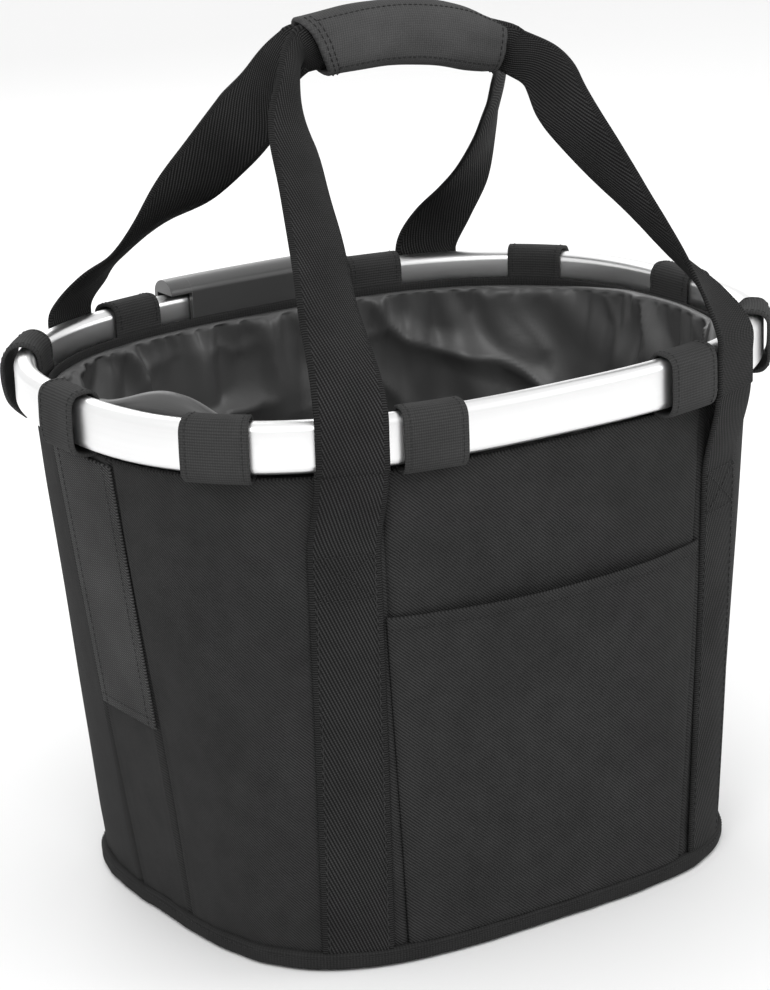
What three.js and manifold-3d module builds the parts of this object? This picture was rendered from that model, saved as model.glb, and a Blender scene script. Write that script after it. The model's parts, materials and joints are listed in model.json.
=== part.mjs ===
// Handlebar basket: a soft bag hung from an oval aluminium rim, with two webbing handles,
// a padded grip and a quick-release bracket on the rear rim.
// Millimetres. +X runs along the basket, -Y is the pocket side, +Z is up, the floor is z = 0.
import * as THREE from 'three';
import { mergeVertices } from 'three/addons/utils/BufferGeometryUtils.js';
import Module from 'manifold-3d';

const wasm = await Module();
wasm.setup();

// ---------------------------------------------------------------- driving dimensions
const GAP = 0.4;                       // clearance between pieces that touch

const RIM = { halfX: 175, halfY: 136, power: 2.6, centreZ: 247.5, height: 23, thickness: 10, wall: 1.4 };
const RIM_STEPS = 64;
const RIM_JOINT_GAP = 0.6;             // between the tube's two ends, at the rear centre

const BASE = { halfX: 140, halfY: 119, power: 3.4 };
const BINDING = { width: 6, bottomZ: GAP, topZ: 8.8 };
const BOTTOM_PANEL_THICKNESS = 3;
const BOARD_THICKNESS = 2.6;

const SHELL = { thickness: 2, bottomZ: 9.2, topZ: 232 };
const SHELL_FOOT = { halfX: 136.6, halfY: 115.8, power: 3.4 };
const SHELL_HEAD = { halfX: 167, halfY: 128, power: 2.6 };
const SHELL_SEAM_GAP = 0.0025;         // radians of the outline's own angle

const LINING = { thickness: 1.2, topZ: 248 };
const LINING_FOOT = { halfX: 132.5, halfY: 111.5, power: 3.4 };
const LINING_HEAD = { halfX: 160, halfY: 121, power: 2.6 };

const FRONT_SEAM = { footX: 76, headX: 87 };     // seams of the front and rear panels
const END_SEAM = { footY: 23, headY: 26 };       // seams of the two end panels

const WEBBING = { width: 30, curledWidth: 19, thickness: 1.8 };
const STRAP = { footX: 97.5, headX: 103, leaveZ: 196, meetZ: 238, topZ: 261 };
const END_STRIP = { width: 34, bottomZ: 103, topZ: 229 };
const POCKET = { halfWidth: 80, topZ: 166, thickness: 1.4, offset: 0.9, slack: 4 };

const LOOP = { width: 34, thickness: 1.7, outerGap: 2.6, innerGap: 2.2, topGap: 1.4, bottomGap: 1.9 };
const LOOP_SIDE_X = 70.5;              // two loops on the front and two on the rear
const LOOP_CORNER_X = 150;             // four loops on the corners

const HINGE_Z = STRAP.topZ + 0.3;
const GRIP = { height: 28, depth: 17, corner: 6, wall: 2.5, mouthY: 1.8, leftX: -41, rightX: 63 };
const FLAP = { thickness: 1.6, mouthGap: 0.5 };

const COVER = { halfWidth: 49, innerHalfWidth: 37, inner: 8.4, outer: 8.6, wallGap: 0.8 };
const COVER_TOP = 19;                  // above the tube's centre line
const COVER_INNER_BOTTOM = -7.5;
const COVER_OUTER_BOTTOM = -19;

const PLATE = { frontY: 140, thickness: 3, halfWidth: 46, bottomZ: 142, topZ: 256 };
const PLATE_BACK_Y = PLATE.frontY + PLATE.thickness;
const RAIL = { innerX: 24, outerX: 30, lipX: 18, depth: 8, lip: 2.5, topZ: 230 };
const STOP = { bottomZ: 222, topZ: 230 };
const SCREW = { x: 38, upperZ: 231.5, lowerZ: 165, radius: 2, headRadius: 4, headHeight: 2.4 };
const BOSS_RADIUS = 5;

const BUTTON = { y: 147.5, stemRadius: 2.5, stemBottomZ: 216, padZ: 250, padHeight: 6 };
const BUTTON_PAD = { halfX: 11, frontY: 143.6, backY: 151.6 };
const SPRING = { radius: 3.9, wire: 0.55, turns: 5, steps: 40 };
const LATCH = {
  halfX: 8, bottomZ: 203, topZ: 215, tongueTopZ: 209.5, frontY: 134, shoulderY: 142.4, tipY: 146.6,
};
const INNER_PLATE = { halfWidth: 44, thickness: 2, bottomZ: 150, topZ: 224 };

// ---------------------------------------------------------------- materials
function finish(colour, roughness, metalness) {
  return new THREE.MeshStandardMaterial({ color: colour, roughness, metalness });
}

const MATERIAL = {
  shell: finish(0x2b2b2d, 0.85, 0),
  webbing: finish(0x323234, 0.8, 0),
  loop: finish(0x38383a, 0.85, 0),
  lining: finish(0x3a3a3c, 0.55, 0),
  aluminium: finish(0xd4d5d7, 0.3, 1),
  plastic: finish(0x2c2c2e, 0.4, 0),
  board: finish(0x1d1d1e, 0.7, 0),
  steel: finish(0x9a9b9d, 0.35, 1),
};

// ---------------------------------------------------------------- outlines
// Every level of the bag and the rim is a superellipse |x/halfX|^power + |y/halfY|^power = 1.
function between(a, b, t) {
  return {
    halfX: THREE.MathUtils.lerp(a.halfX, b.halfX, t),
    halfY: THREE.MathUtils.lerp(a.halfY, b.halfY, t),
    power: THREE.MathUtils.lerp(a.power, b.power, t),
  };
}

function inset(outline, distance) {
  return { halfX: outline.halfX - distance, halfY: outline.halfY - distance, power: outline.power };
}

function outlinePoint(outline, angle) {
  const c = Math.cos(angle);
  const s = Math.sin(angle);
  const x = outline.halfX * Math.sign(c) * Math.abs(c) ** (2 / outline.power);
  const y = outline.halfY * Math.sign(s) * Math.abs(s) ** (2 / outline.power);
  return new THREE.Vector3(x, y, 0);
}

function outlineY(outline, x) {
  return outline.halfY * (1 - Math.abs(x / outline.halfX) ** outline.power) ** (1 / outline.power);
}

function outlineX(outline, y) {
  return outline.halfX * (1 - Math.abs(y / outline.halfY) ** outline.power) ** (1 / outline.power);
}

function outlineNormal(outline, x, y) {
  const nx = Math.sign(x) * Math.abs(x / outline.halfX) ** (outline.power - 1) / outline.halfX;
  const ny = Math.sign(y) * Math.abs(y / outline.halfY) ** (outline.power - 1) / outline.halfY;
  return new THREE.Vector3(nx, ny, 0).normalize();
}

function angleAtX(outline, x) {
  return Math.acos((x / outline.halfX) ** (outline.power / 2));
}

function angleAtY(outline, y) {
  return Math.asin((y / outline.halfY) ** (outline.power / 2));
}

function shellOutline(z) {
  return between(SHELL_FOOT, SHELL_HEAD, z / SHELL.topZ);
}

function liningOutline(z) {
  return between(LINING_FOOT, LINING_HEAD, Math.min(z / SHELL.topZ, 1));
}

// A sewn strap follows the shell, then steps out to pass over the outside of the rim.
function strapOutline(z) {
  const step = THREE.MathUtils.smoothstep(z, STRAP.leaveZ, STRAP.meetZ);
  return between(shellOutline(Math.min(z, SHELL.topZ)), RIM, step);
}

// ---------------------------------------------------------------- geometry helpers
function mapVertices(geometry, place) {
  const position = geometry.attributes.position;
  const point = new THREE.Vector3();
  for (let i = 0; i < position.count; i += 1) {
    place(point.fromBufferAttribute(position, i));
    position.setXYZ(i, point.x, point.y, point.z);
  }
  return geometry;
}

function welded(geometry) {
  const bare = geometry.clone();
  bare.deleteAttribute('normal');
  bare.deleteAttribute('uv');
  return mergeVertices(bare, 1e-4);
}

function toSolid(geometry) {
  const bare = welded(geometry);
  const vertProperties = new Float32Array(bare.attributes.position.array);
  const triVerts = new Uint32Array(bare.index.array);
  return new wasm.Manifold(new wasm.Mesh({ numProp: 3, vertProperties, triVerts }));
}

function toGeometry(solid) {
  const mesh = solid.getMesh();
  const geometry = new THREE.BufferGeometry();
  geometry.setAttribute('position', new THREE.BufferAttribute(new Float32Array(mesh.vertProperties), 3));
  geometry.setIndex(new THREE.BufferAttribute(new Uint32Array(mesh.triVerts), 1));
  return geometry;
}

function box(minX, maxX, minY, maxY, minZ, maxZ) {
  const geometry = new THREE.BoxGeometry(maxX - minX, maxY - minY, maxZ - minZ);
  return geometry.translate((minX + maxX) / 2, (minY + maxY) / 2, (minZ + maxZ) / 2);
}

function rodAlongY(radius, x, z, startY, endY) {
  const geometry = new THREE.CylinderGeometry(radius, radius, endY - startY, 16);
  return geometry.translate(x, (startY + endY) / 2, z);
}

function rodAlongZ(radius, x, y, startZ, endZ) {
  const geometry = new THREE.CylinderGeometry(radius, radius, endZ - startZ, 16);
  return geometry.rotateX(Math.PI / 2).translate(x, y, (startZ + endZ) / 2);
}

// A capped solid whose section at each height is an outline.
function stackedSolid(outlineAt, bottomZ, topZ, columns, rows) {
  const unit = new THREE.CylinderGeometry(1, 1, 1, columns, rows);
  return mapVertices(unit.rotateX(Math.PI / 2), (point) => {
    const z = THREE.MathUtils.lerp(bottomZ, topZ, point.z + 0.5);
    const reach = Math.hypot(point.x, point.y);
    const onOutline = outlinePoint(outlineAt(z), Math.atan2(point.y, point.x));
    point.set(onOutline.x * reach, onOutline.y * reach, z);
  });
}

// A curved sheet of the bag's wall between two seams, given as angles of the outline at a height.
function wallSheet(seamA, seamB, columns, rows) {
  const unit = new THREE.BoxGeometry(1, 1, 1, columns, 1, rows);
  return mapVertices(unit, (point) => {
    const z = THREE.MathUtils.lerp(SHELL.bottomZ, SHELL.topZ, point.z + 0.5);
    const outline = shellOutline(z);
    const angle = THREE.MathUtils.lerp(seamA(outline, z), seamB(outline, z), point.x + 0.5);
    const onWall = outlinePoint(inset(outline, SHELL.thickness * (point.y + 0.5)), angle);
    point.set(onWall.x, onWall.y, z);
  });
}

// A thin piece lying on the front or rear wall. side is -1 in front and 1 behind; spot maps the
// unit box to { x, z, offset }, with offset measured outwards from the given outline.
function facing(side, outlineAt, columns, rows, spot) {
  const unit = new THREE.BoxGeometry(1, 1, 1, columns, 1, rows);
  return mapVertices(unit, (point) => {
    const { x, z, offset } = spot(point.x, side * point.y + 0.5, point.z + 0.5);
    const outline = outlineAt(z);
    const y = outlineY(outline, x);
    const outward = outlineNormal(outline, x, y);
    point.set(x + outward.x * offset, side * (y + outward.y * offset), z);
  });
}

// Flat webbing along a curve; keys give the direction across the webbing at even stations.
function ribbon(points, acrossKeys, widthAt, segments) {
  const curve = new THREE.CatmullRomCurve3(points, false, 'centripetal');
  const across = new THREE.CatmullRomCurve3(acrossKeys, false, 'uniform');
  const unit = new THREE.BoxGeometry(1, WEBBING.thickness, 1, segments, 1, 1);
  return mapVertices(unit, (point) => {
    const along = THREE.MathUtils.clamp(point.x + 0.5, 0, 1);
    const tangent = curve.getTangentAt(along);
    const centre = curve.getPointAt(along);
    const side = across.getPoint(along);
    side.addScaledVector(tangent, -side.dot(tangent)).normalize();
    const normal = side.clone().cross(tangent);
    const sideways = point.z * widthAt(along);
    const lift = point.y;
    point.copy(centre).addScaledVector(side, sideways).addScaledVector(normal, lift);
  });
}

// ---------------------------------------------------------------- scene graph
const basket = new THREE.Group();

function add(name, geometry, material) {
  const mesh = new THREE.Mesh(welded(geometry), material);
  mesh.name = name;
  basket.add(mesh);
  return mesh;
}

// ---------------------------------------------------------------- base
function addBase() {
  const bottomOutline = () => inset(BASE, BINDING.width + GAP);
  const bottom = stackedSolid(bottomOutline, 0, BOTTOM_PANEL_THICKNESS, 48, 1);
  add('bottom_panel', bottom, MATERIAL.shell);

  const boardBottom = BOTTOM_PANEL_THICKNESS + GAP;
  const boardOutline = () => inset(BASE, BINDING.width + 2);
  const board = stackedSolid(boardOutline, boardBottom, boardBottom + BOARD_THICKNESS, 48, 1);
  add('base_board', board, MATERIAL.board);

  const outer = toSolid(stackedSolid(() => BASE, BINDING.bottomZ, BINDING.topZ, 48, 1));
  const bore = toSolid(stackedSolid(() => inset(BASE, BINDING.width), -1, BINDING.topZ + 1, 48, 1));
  add('base_binding', toGeometry(outer.subtract(bore)), MATERIAL.webbing);
}

// ---------------------------------------------------------------- walls
function frontSeam(outline, z) {
  const x = THREE.MathUtils.lerp(FRONT_SEAM.footX, FRONT_SEAM.headX, z / SHELL.topZ);
  return angleAtX(outline, x);
}

function endSeam(outline, z) {
  const y = THREE.MathUtils.lerp(END_SEAM.footY, END_SEAM.headY, z / SHELL.topZ);
  return angleAtY(outline, y);
}

function addWalls() {
  const g = SHELL_SEAM_GAP;
  const full = 2 * Math.PI;
  const rearA = (o, z) => frontSeam(o, z) + g;
  const rearB = (o, z) => Math.PI - frontSeam(o, z) - g;
  const frontA = (o, z) => Math.PI + frontSeam(o, z) + g;
  const frontB = (o, z) => full - frontSeam(o, z) - g;
  add('front_panel', wallSheet(frontA, frontB, 8, 4), MATERIAL.shell);

  let rear = toSolid(wallSheet(rearA, rearB, 8, 4));
  for (const x of [-SCREW.x, SCREW.x]) {
    const hole = rodAlongY(SCREW.radius + 0.6, x, SCREW.lowerZ, 110, 140);
    rear = rear.subtract(toSolid(hole));
  }
  add('rear_panel', toGeometry(rear), MATERIAL.shell);

  const corners = {
    rear_right_panel: [(o, z) => endSeam(o, z) + g, (o, z) => frontSeam(o, z) - g],
    rear_left_panel: [(o, z) => Math.PI - frontSeam(o, z) + g, (o, z) => Math.PI - endSeam(o, z) - g],
    front_left_panel: [(o, z) => Math.PI + endSeam(o, z) + g, (o, z) => Math.PI + frontSeam(o, z) - g],
    front_right_panel: [(o, z) => full - frontSeam(o, z) + g, (o, z) => full - endSeam(o, z) - g],
  };
  for (const [name, [seamA, seamB]] of Object.entries(corners)) {
    add(name, wallSheet(seamA, seamB, 6, 4), MATERIAL.shell);
  }
  const endA = (o, z) => -endSeam(o, z) + g;
  const endB = (o, z) => endSeam(o, z) - g;
  add('right_end_panel', wallSheet(endA, endB, 4, 4), MATERIAL.shell);
  const otherA = (o, z) => Math.PI - endSeam(o, z) + g;
  const otherB = (o, z) => Math.PI + endSeam(o, z) - g;
  add('left_end_panel', wallSheet(otherA, otherB, 4, 4), MATERIAL.shell);
}

function addEndStrips() {
  for (const [name, side] of [['left_end_strip', -1], ['right_end_strip', 1]]) {
    const unit = new THREE.BoxGeometry(1, 1, 1, 1, 4, 4);
    const strip = mapVertices(unit, (point) => {
      const z = THREE.MathUtils.lerp(END_STRIP.bottomZ, END_STRIP.topZ, point.z + 0.5);
      const y = side * point.y * END_STRIP.width;
      const offset = GAP + WEBBING.thickness * (point.x + 0.5);
      point.set(side * (outlineX(shellOutline(z), y) + offset), y, z);
    });
    add(name, strip, MATERIAL.webbing);
  }
}

function addLining() {
  const bottomZ = BOTTOM_PANEL_THICKNESS + BOARD_THICKNESS + 2 * GAP;
  const outer = toSolid(stackedSolid(liningOutline, bottomZ, LINING.topZ, 40, 4));
  const hollowOutline = (z) => inset(liningOutline(z), LINING.thickness);
  const hollow = stackedSolid(hollowOutline, bottomZ + LINING.thickness, LINING.topZ + 1, 40, 4);
  add('lining', toGeometry(outer.subtract(toSolid(hollow))), MATERIAL.lining);
}

function addPocket() {
  const pocket = facing(-1, shellOutline, 10, 4, (across, depth, up) => {
    const z = THREE.MathUtils.lerp(SHELL.bottomZ, POCKET.topZ, up);
    const narrowing = THREE.MathUtils.lerp(0.94, 1, up);
    const slack = POCKET.slack * up * up * Math.cos(Math.PI * across) ** 2;
    const offset = POCKET.offset + slack + POCKET.thickness * depth;
    return { x: 2 * across * POCKET.halfWidth * narrowing, z, offset };
  });
  add('front_pocket', pocket, MATERIAL.shell);
}

function addStraps() {
  const names = {
    front_left_strap: [-1, -1], front_right_strap: [1, -1],
    rear_left_strap: [-1, 1], rear_right_strap: [1, 1],
  };
  for (const [name, [sideX, sideY]] of Object.entries(names)) {
    const strap = facing(sideY, strapOutline, 3, 16, (across, depth, up) => {
      const z = THREE.MathUtils.lerp(SHELL.bottomZ, STRAP.topZ, up);
      const centre = THREE.MathUtils.lerp(STRAP.footX, STRAP.headX, Math.min(z / SHELL.topZ, 1));
      const slope = outlineNormal(strapOutline(z), centre, outlineY(strapOutline(z), centre)).y;
      const x = sideX * centre + across * WEBBING.width * slope;
      return { x, z, offset: GAP + WEBBING.thickness * depth };
    });
    add(name, strap, MATERIAL.webbing);
  }
}

// ---------------------------------------------------------------- rim
class OutlineCurve extends THREE.Curve {
  constructor(outline, startAngle, endAngle, z) {
    super();
    this.outline = outline;
    this.startAngle = startAngle;
    this.endAngle = endAngle;
    this.z = z;
    this.arcLengthDivisions = 1200;
  }

  getPoint(t, target = new THREE.Vector3()) {
    const angle = THREE.MathUtils.lerp(this.startAngle, this.endAngle, t);
    return target.copy(outlinePoint(this.outline, angle)).setZ(this.z);
  }
}

function roundedRectangle(path, halfWidth, halfHeight, radius) {
  const x = halfWidth - radius;
  const y = halfHeight - radius;
  path.moveTo(halfWidth, -y);
  path.absarc(x, y, radius, 0, Math.PI / 2, false);
  path.absarc(-x, y, radius, Math.PI / 2, Math.PI, false);
  path.absarc(-x, -y, radius, Math.PI, 1.5 * Math.PI, false);
  path.absarc(x, -y, radius, 1.5 * Math.PI, 2 * Math.PI, false);
  return path;
}

const RIM_CENTRE = inset(RIM, RIM.thickness / 2);

// The rim is nearly straight behind the cover; this is how far it has curved forward at x.
function rearSag(x) {
  return outlineY(RIM_CENTRE, x) - RIM_CENTRE.halfY;
}

function addRim() {
  const section = roundedRectangle(new THREE.Shape(), RIM.height / 2, RIM.thickness / 2, 4.6);
  const bore = new THREE.Path();
  roundedRectangle(bore, RIM.height / 2 - RIM.wall, RIM.thickness / 2 - RIM.wall, 3.2);
  section.holes.push(bore);
  const startAngle = angleAtX(RIM_CENTRE, RIM_JOINT_GAP / 2);
  const seam = Math.PI / 2 - startAngle;
  const path = new OutlineCurve(RIM_CENTRE, Math.PI / 2 + seam, 2.5 * Math.PI - seam, RIM.centreZ);
  const tube = new THREE.ExtrudeGeometry(section, {
    steps: RIM_STEPS, curveSegments: 1, extrudePath: path,
  });
  add('rim_tube', tube, MATERIAL.aluminium);

  const sleeve = mapVertices(new THREE.BoxGeometry(40, 6, 16, 6, 1, 1), (point) => {
    point.y += RIM_CENTRE.halfY + rearSag(point.x);
    point.z += RIM.centreZ;
  });
  add('rim_joint_sleeve', sleeve, MATERIAL.aluminium);
}

function loopGeometry() {
  const left = -RIM.thickness / 2 - LOOP.innerGap;
  const right = RIM.thickness / 2 + LOOP.outerGap;
  const bottom = -RIM.height / 2 - LOOP.bottomGap;
  const top = RIM.height / 2 + LOOP.topGap;
  const halfWidth = (right - left) / 2;
  const halfHeight = (top - bottom) / 2;
  const ring = roundedRectangle(
    new THREE.Shape(), halfWidth + LOOP.thickness, halfHeight + LOOP.thickness, 6,
  );
  ring.holes.push(roundedRectangle(new THREE.Path(), halfWidth, halfHeight, 6 - LOOP.thickness));
  const geometry = new THREE.ExtrudeGeometry(ring, {
    depth: LOOP.width, curveSegments: 2, bevelEnabled: false,
  });
  geometry.translate((left + right) / 2, (top + bottom) / 2, -LOOP.width / 2);
  return geometry.rotateX(Math.PI / 2);
}

function addLoops() {
  const sideAngle = angleAtX(RIM_CENTRE, LOOP_SIDE_X);
  const cornerAngle = angleAtX(RIM, LOOP_CORNER_X);
  const places = {
    right_end_loop: 0,
    rear_right_corner_loop: cornerAngle,
    rear_right_loop: sideAngle,
    rear_left_loop: Math.PI - sideAngle,
    rear_left_corner_loop: Math.PI - cornerAngle,
    left_end_loop: Math.PI,
    front_left_corner_loop: Math.PI + cornerAngle,
    front_left_loop: Math.PI + sideAngle,
    front_right_loop: -sideAngle,
    front_right_corner_loop: -cornerAngle,
  };
  for (const [name, angle] of Object.entries(places)) {
    const loop = add(name, loopGeometry(), MATERIAL.loop);
    const centre = outlinePoint(RIM_CENTRE, angle);
    const outward = outlineNormal(RIM_CENTRE, centre.x, centre.y);
    loop.position.set(centre.x, centre.y, RIM.centreZ);
    loop.rotation.z = Math.atan2(outward.y, outward.x);
  }
}

// ---------------------------------------------------------------- bracket
function coverSolid(halfWidth, withInnerWall) {
  const cavityIn = -RIM.thickness / 2 - COVER.wallGap;
  const cavityOut = RIM.thickness / 2 + COVER.wallGap;
  const cavityTop = RIM.height / 2 + COVER.wallGap;
  const shoulder = cavityTop + 0.5;
  const innerBottom = withInnerWall ? COVER_INNER_BOTTOM : cavityTop;
  const rise = COVER_TOP - shoulder;
  const centre = (COVER.outer - COVER.inner) / 2;
  const reach = (COVER.outer + COVER.inner) / 2;
  const profile = new THREE.Shape();
  profile.moveTo(cavityOut, COVER_OUTER_BOTTOM);
  profile.lineTo(COVER.outer, COVER_OUTER_BOTTOM);
  profile.lineTo(COVER.outer, shoulder);
  profile.absellipse(centre, shoulder, reach, rise, 0, Math.PI, false, 0);
  profile.lineTo(-COVER.inner, innerBottom);
  profile.lineTo(cavityIn, innerBottom);
  profile.lineTo(cavityIn, cavityTop);
  profile.lineTo(cavityOut, cavityTop);
  const straight = new THREE.ExtrudeGeometry(profile, {
    depth: 2 * halfWidth, steps: 4, curveSegments: 4, bevelEnabled: false,
  });
  return toSolid(mapVertices(straight, (point) => {
    const x = point.z - halfWidth;
    point.set(x, RIM_CENTRE.halfY + rearSag(x) + point.x, RIM.centreZ + point.y);
  }));
}

function addCover() {
  let cover = coverSolid(COVER.halfWidth, false).add(coverSolid(COVER.innerHalfWidth, true));
  for (const x of [-SCREW.x, SCREW.x]) {
    cover = cover.subtract(toSolid(rodAlongY(SCREW.radius + 0.3, x, SCREW.upperZ, 130, 142)));
  }
  add('bracket_cover', toGeometry(cover), MATERIAL.plastic);
}

function addBackPlate() {
  const backY = PLATE_BACK_Y;
  const lipY = backY + RAIL.depth;
  let plate = toSolid(box(
    -PLATE.halfWidth, PLATE.halfWidth, PLATE.frontY, backY, PLATE.bottomZ, PLATE.topZ,
  ));
  const top = RAIL.topZ;
  for (const side of [-1, 1]) {
    const railX = [side * RAIL.innerX, side * RAIL.outerX].sort((a, b) => a - b);
    const lipX = [side * RAIL.lipX, side * RAIL.outerX].sort((a, b) => a - b);
    const rail = box(railX[0], railX[1], backY - 1, lipY, PLATE.bottomZ, top);
    const lip = box(lipX[0], lipX[1], lipY - RAIL.lip, lipY, PLATE.bottomZ, top);
    const boss = rodAlongY(BOSS_RADIUS, side * SCREW.x, SCREW.lowerZ, 124.8, PLATE.frontY + 1);
    plate = plate.add(toSolid(rail)).add(toSolid(lip)).add(toSolid(boss));
  }
  plate = plate.add(toSolid(box(-RAIL.outerX, RAIL.outerX, backY - 1, lipY, STOP.bottomZ, STOP.topZ)));
  for (const side of [-1, 1]) {
    for (const z of [SCREW.upperZ, SCREW.lowerZ]) {
      plate = plate.subtract(toSolid(rodAlongY(SCREW.radius + 0.3, side * SCREW.x, z, 120, 150)));
    }
  }
  const window = box(
    -LATCH.halfX - 0.5, LATCH.halfX + 0.5, PLATE.frontY - 1, backY + 1,
    LATCH.bottomZ - 0.5, LATCH.topZ + 0.5,
  );
  const stemBore = rodAlongZ(BUTTON.stemRadius + 0.5, 0, BUTTON.y, STOP.bottomZ - 1, STOP.topZ + 1);
  plate = plate.subtract(toSolid(window)).subtract(toSolid(stemBore));
  add('bracket_back_plate', toGeometry(plate), MATERIAL.plastic);
}

function addInnerPlate() {
  const unit = new THREE.BoxGeometry(1, 1, 1, 6, 1, 2);
  let plate = toSolid(mapVertices(unit, (point) => {
    const x = point.x * 2 * INNER_PLATE.halfWidth;
    const z = THREE.MathUtils.lerp(INNER_PLATE.bottomZ, INNER_PLATE.topZ, point.z + 0.5);
    const depth = SHELL.thickness + 0.6 + INNER_PLATE.thickness * (0.5 - point.y);
    point.set(x, outlineY(shellOutline(z), x) - depth, z);
  }));
  for (const x of [-SCREW.x, SCREW.x]) {
    plate = plate.subtract(toSolid(rodAlongY(SCREW.radius + 0.3, x, SCREW.lowerZ, 110, 130)));
  }
  add('bracket_inner_plate', toGeometry(plate), MATERIAL.plastic);
}

function addScrews() {
  const places = {
    bracket_screw_upper_left: [-SCREW.x, SCREW.upperZ, 133.4],
    bracket_screw_upper_right: [SCREW.x, SCREW.upperZ, 133.4],
    bracket_screw_lower_left: [-SCREW.x, SCREW.lowerZ, 119],
    bracket_screw_lower_right: [SCREW.x, SCREW.lowerZ, 119],
  };
  const headY = PLATE_BACK_Y + 0.3;
  for (const [name, [x, z, tipY]] of Object.entries(places)) {
    const shank = toSolid(rodAlongY(SCREW.radius, x, z, tipY, headY + 0.5));
    const head = toSolid(rodAlongY(SCREW.headRadius, x, z, headY, headY + SCREW.headHeight));
    const socket = rodAlongY(1.5, x, z, headY + 1, headY + SCREW.headHeight + 1);
    add(name, toGeometry(shank.add(head).subtract(toSolid(socket))), MATERIAL.steel);
  }
}

class CoilCurve extends THREE.Curve {
  getPoint(t, target = new THREE.Vector3()) {
    const angle = 2 * Math.PI * SPRING.turns * t;
    const bottom = STOP.topZ + SPRING.wire + 0.3;
    const top = BUTTON.padZ - SPRING.wire - 0.3;
    const x = SPRING.radius * Math.cos(angle);
    const y = BUTTON.y + SPRING.radius * Math.sin(angle);
    return target.set(x, y, THREE.MathUtils.lerp(bottom, top, t));
  }
}

function addButton() {
  const stem = rodAlongZ(BUTTON.stemRadius, 0, BUTTON.y, BUTTON.stemBottomZ, BUTTON.padZ + 1);
  const pad = box(
    -BUTTON_PAD.halfX, BUTTON_PAD.halfX, BUTTON_PAD.frontY, BUTTON_PAD.backY,
    BUTTON.padZ, BUTTON.padZ + BUTTON.padHeight,
  );
  add('release_button', toGeometry(toSolid(stem).add(toSolid(pad))), MATERIAL.plastic);

  const wire = new THREE.Shape();
  wire.absarc(0, 0, SPRING.wire, 0, 2 * Math.PI, false);
  const coil = new THREE.ExtrudeGeometry(wire, {
    steps: SPRING.steps, curveSegments: 3, extrudePath: new CoilCurve(),
  });
  add('button_spring', coil, MATERIAL.steel);

  const side = new THREE.Shape();
  side.moveTo(LATCH.frontY, LATCH.bottomZ);
  side.lineTo(LATCH.tipY - 2, LATCH.bottomZ);
  side.lineTo(LATCH.tipY, LATCH.bottomZ + 3);
  side.lineTo(LATCH.tipY, LATCH.tongueTopZ);
  side.lineTo(LATCH.shoulderY, LATCH.tongueTopZ);
  side.lineTo(LATCH.shoulderY, LATCH.topZ);
  side.lineTo(LATCH.frontY, LATCH.topZ);
  const latch = new THREE.ExtrudeGeometry(side, { depth: 2 * LATCH.halfX, bevelEnabled: false });
  const turned = mapVertices(latch, (point) => {
    point.set(point.z - LATCH.halfX, point.x, point.y);
  });
  add('latch', turned, MATERIAL.plastic);
}

// ---------------------------------------------------------------- handles and grip
// The two loops of webbing lean together over the middle; each leg turns as it rises.
function gripHeight(x) {
  const t = (x - GRIP.leftX) / (GRIP.rightX - GRIP.leftX);
  return 394 + 3 * Math.sin(Math.PI * Math.min(t * 1.1, 1)) - 11 * t ** 3;
}

function gripPoint(x, y) {
  return new THREE.Vector3(x, y, gripHeight(x));
}

function handleWidth(along) {
  const narrow = THREE.MathUtils.smoothstep(Math.min(along, 1 - along), 0.22, 0.35);
  return THREE.MathUtils.lerp(WEBBING.width, WEBBING.curledWidth, narrow);
}

function addHandles() {
  const vector = (x, y, z) => new THREE.Vector3(x, y, z);
  const footY = outlineY(RIM, STRAP.headX) + GAP + WEBBING.thickness / 2 + 0.4;
  const footZ = HINGE_Z + 0.4;
  const front = [
    vector(-103.5, -footY, footZ), vector(-103.5, -footY, footZ + 5), vector(-100, -114, 279),
    vector(-93, -94, 301),
    vector(-82, -68, 328), vector(-70, -36, 361), vector(-58, -16, 383),
    gripPoint(GRIP.leftX - 7, -4.6), gripPoint(-38, -3.2), gripPoint(12, -3.2), gripPoint(60, -3.2),
    gripPoint(GRIP.rightX + 6, -5), vector(74, -20, 373), vector(71, -42, 356), vector(77, -66, 330),
    vector(87, -92, 302), vector(98, -113, 279),
    vector(103.5, -footY, footZ + 5), vector(103.5, -footY, footZ),
  ];
  const rear = [
    vector(-103.5, footY, footZ), vector(-103.5, footY, footZ + 5), vector(-96, 113, 277),
    vector(-82, 101, 293),
    vector(-62, 70, 326), vector(-52, 38, 358), vector(-50, 18, 380),
    gripPoint(GRIP.leftX - 5, 5), gripPoint(-36, 3.4), gripPoint(12, 3.4), gripPoint(58, 3.4),
    gripPoint(GRIP.rightX + 5, 5), vector(80, 20, 371), vector(95, 44, 353), vector(105, 72, 323),
    vector(109, 96, 297), vector(107, 113, 279),
    vector(103.5, footY, footZ + 5), vector(103.5, footY, footZ),
  ];
  const up = vector(0, 0, 1);
  const frontAcross = [
    vector(-0.93, 0.37, 0), vector(-0.93, 0.2, 0.1), vector(-0.8, -0.35, 0.35), vector(-0.2, -0.5, 0.8),
    up, vector(0.2, -0.4, 0.85), vector(0.45, -0.55, 0.65), vector(-0.7, -0.6, 0.3), vector(-0.93, -0.37, 0),
  ];
  const rearAcross = [
    vector(-0.93, -0.37, 0), vector(-0.75, 0.2, 0.5), vector(-0.47, 0.55, 0.69), vector(-0.1, 0.4, 0.9),
    up, vector(0.2, 0.3, 0.9), vector(0.64, 0.46, 0.63), vector(0.9, -0.1, 0.35), vector(0.93, -0.37, 0),
  ];
  add('front_handle', ribbon(front, frontAcross, handleWidth, 44), MATERIAL.webbing);
  add('rear_handle', ribbon(rear, rearAcross, handleWidth, 44), MATERIAL.webbing);
}

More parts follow.
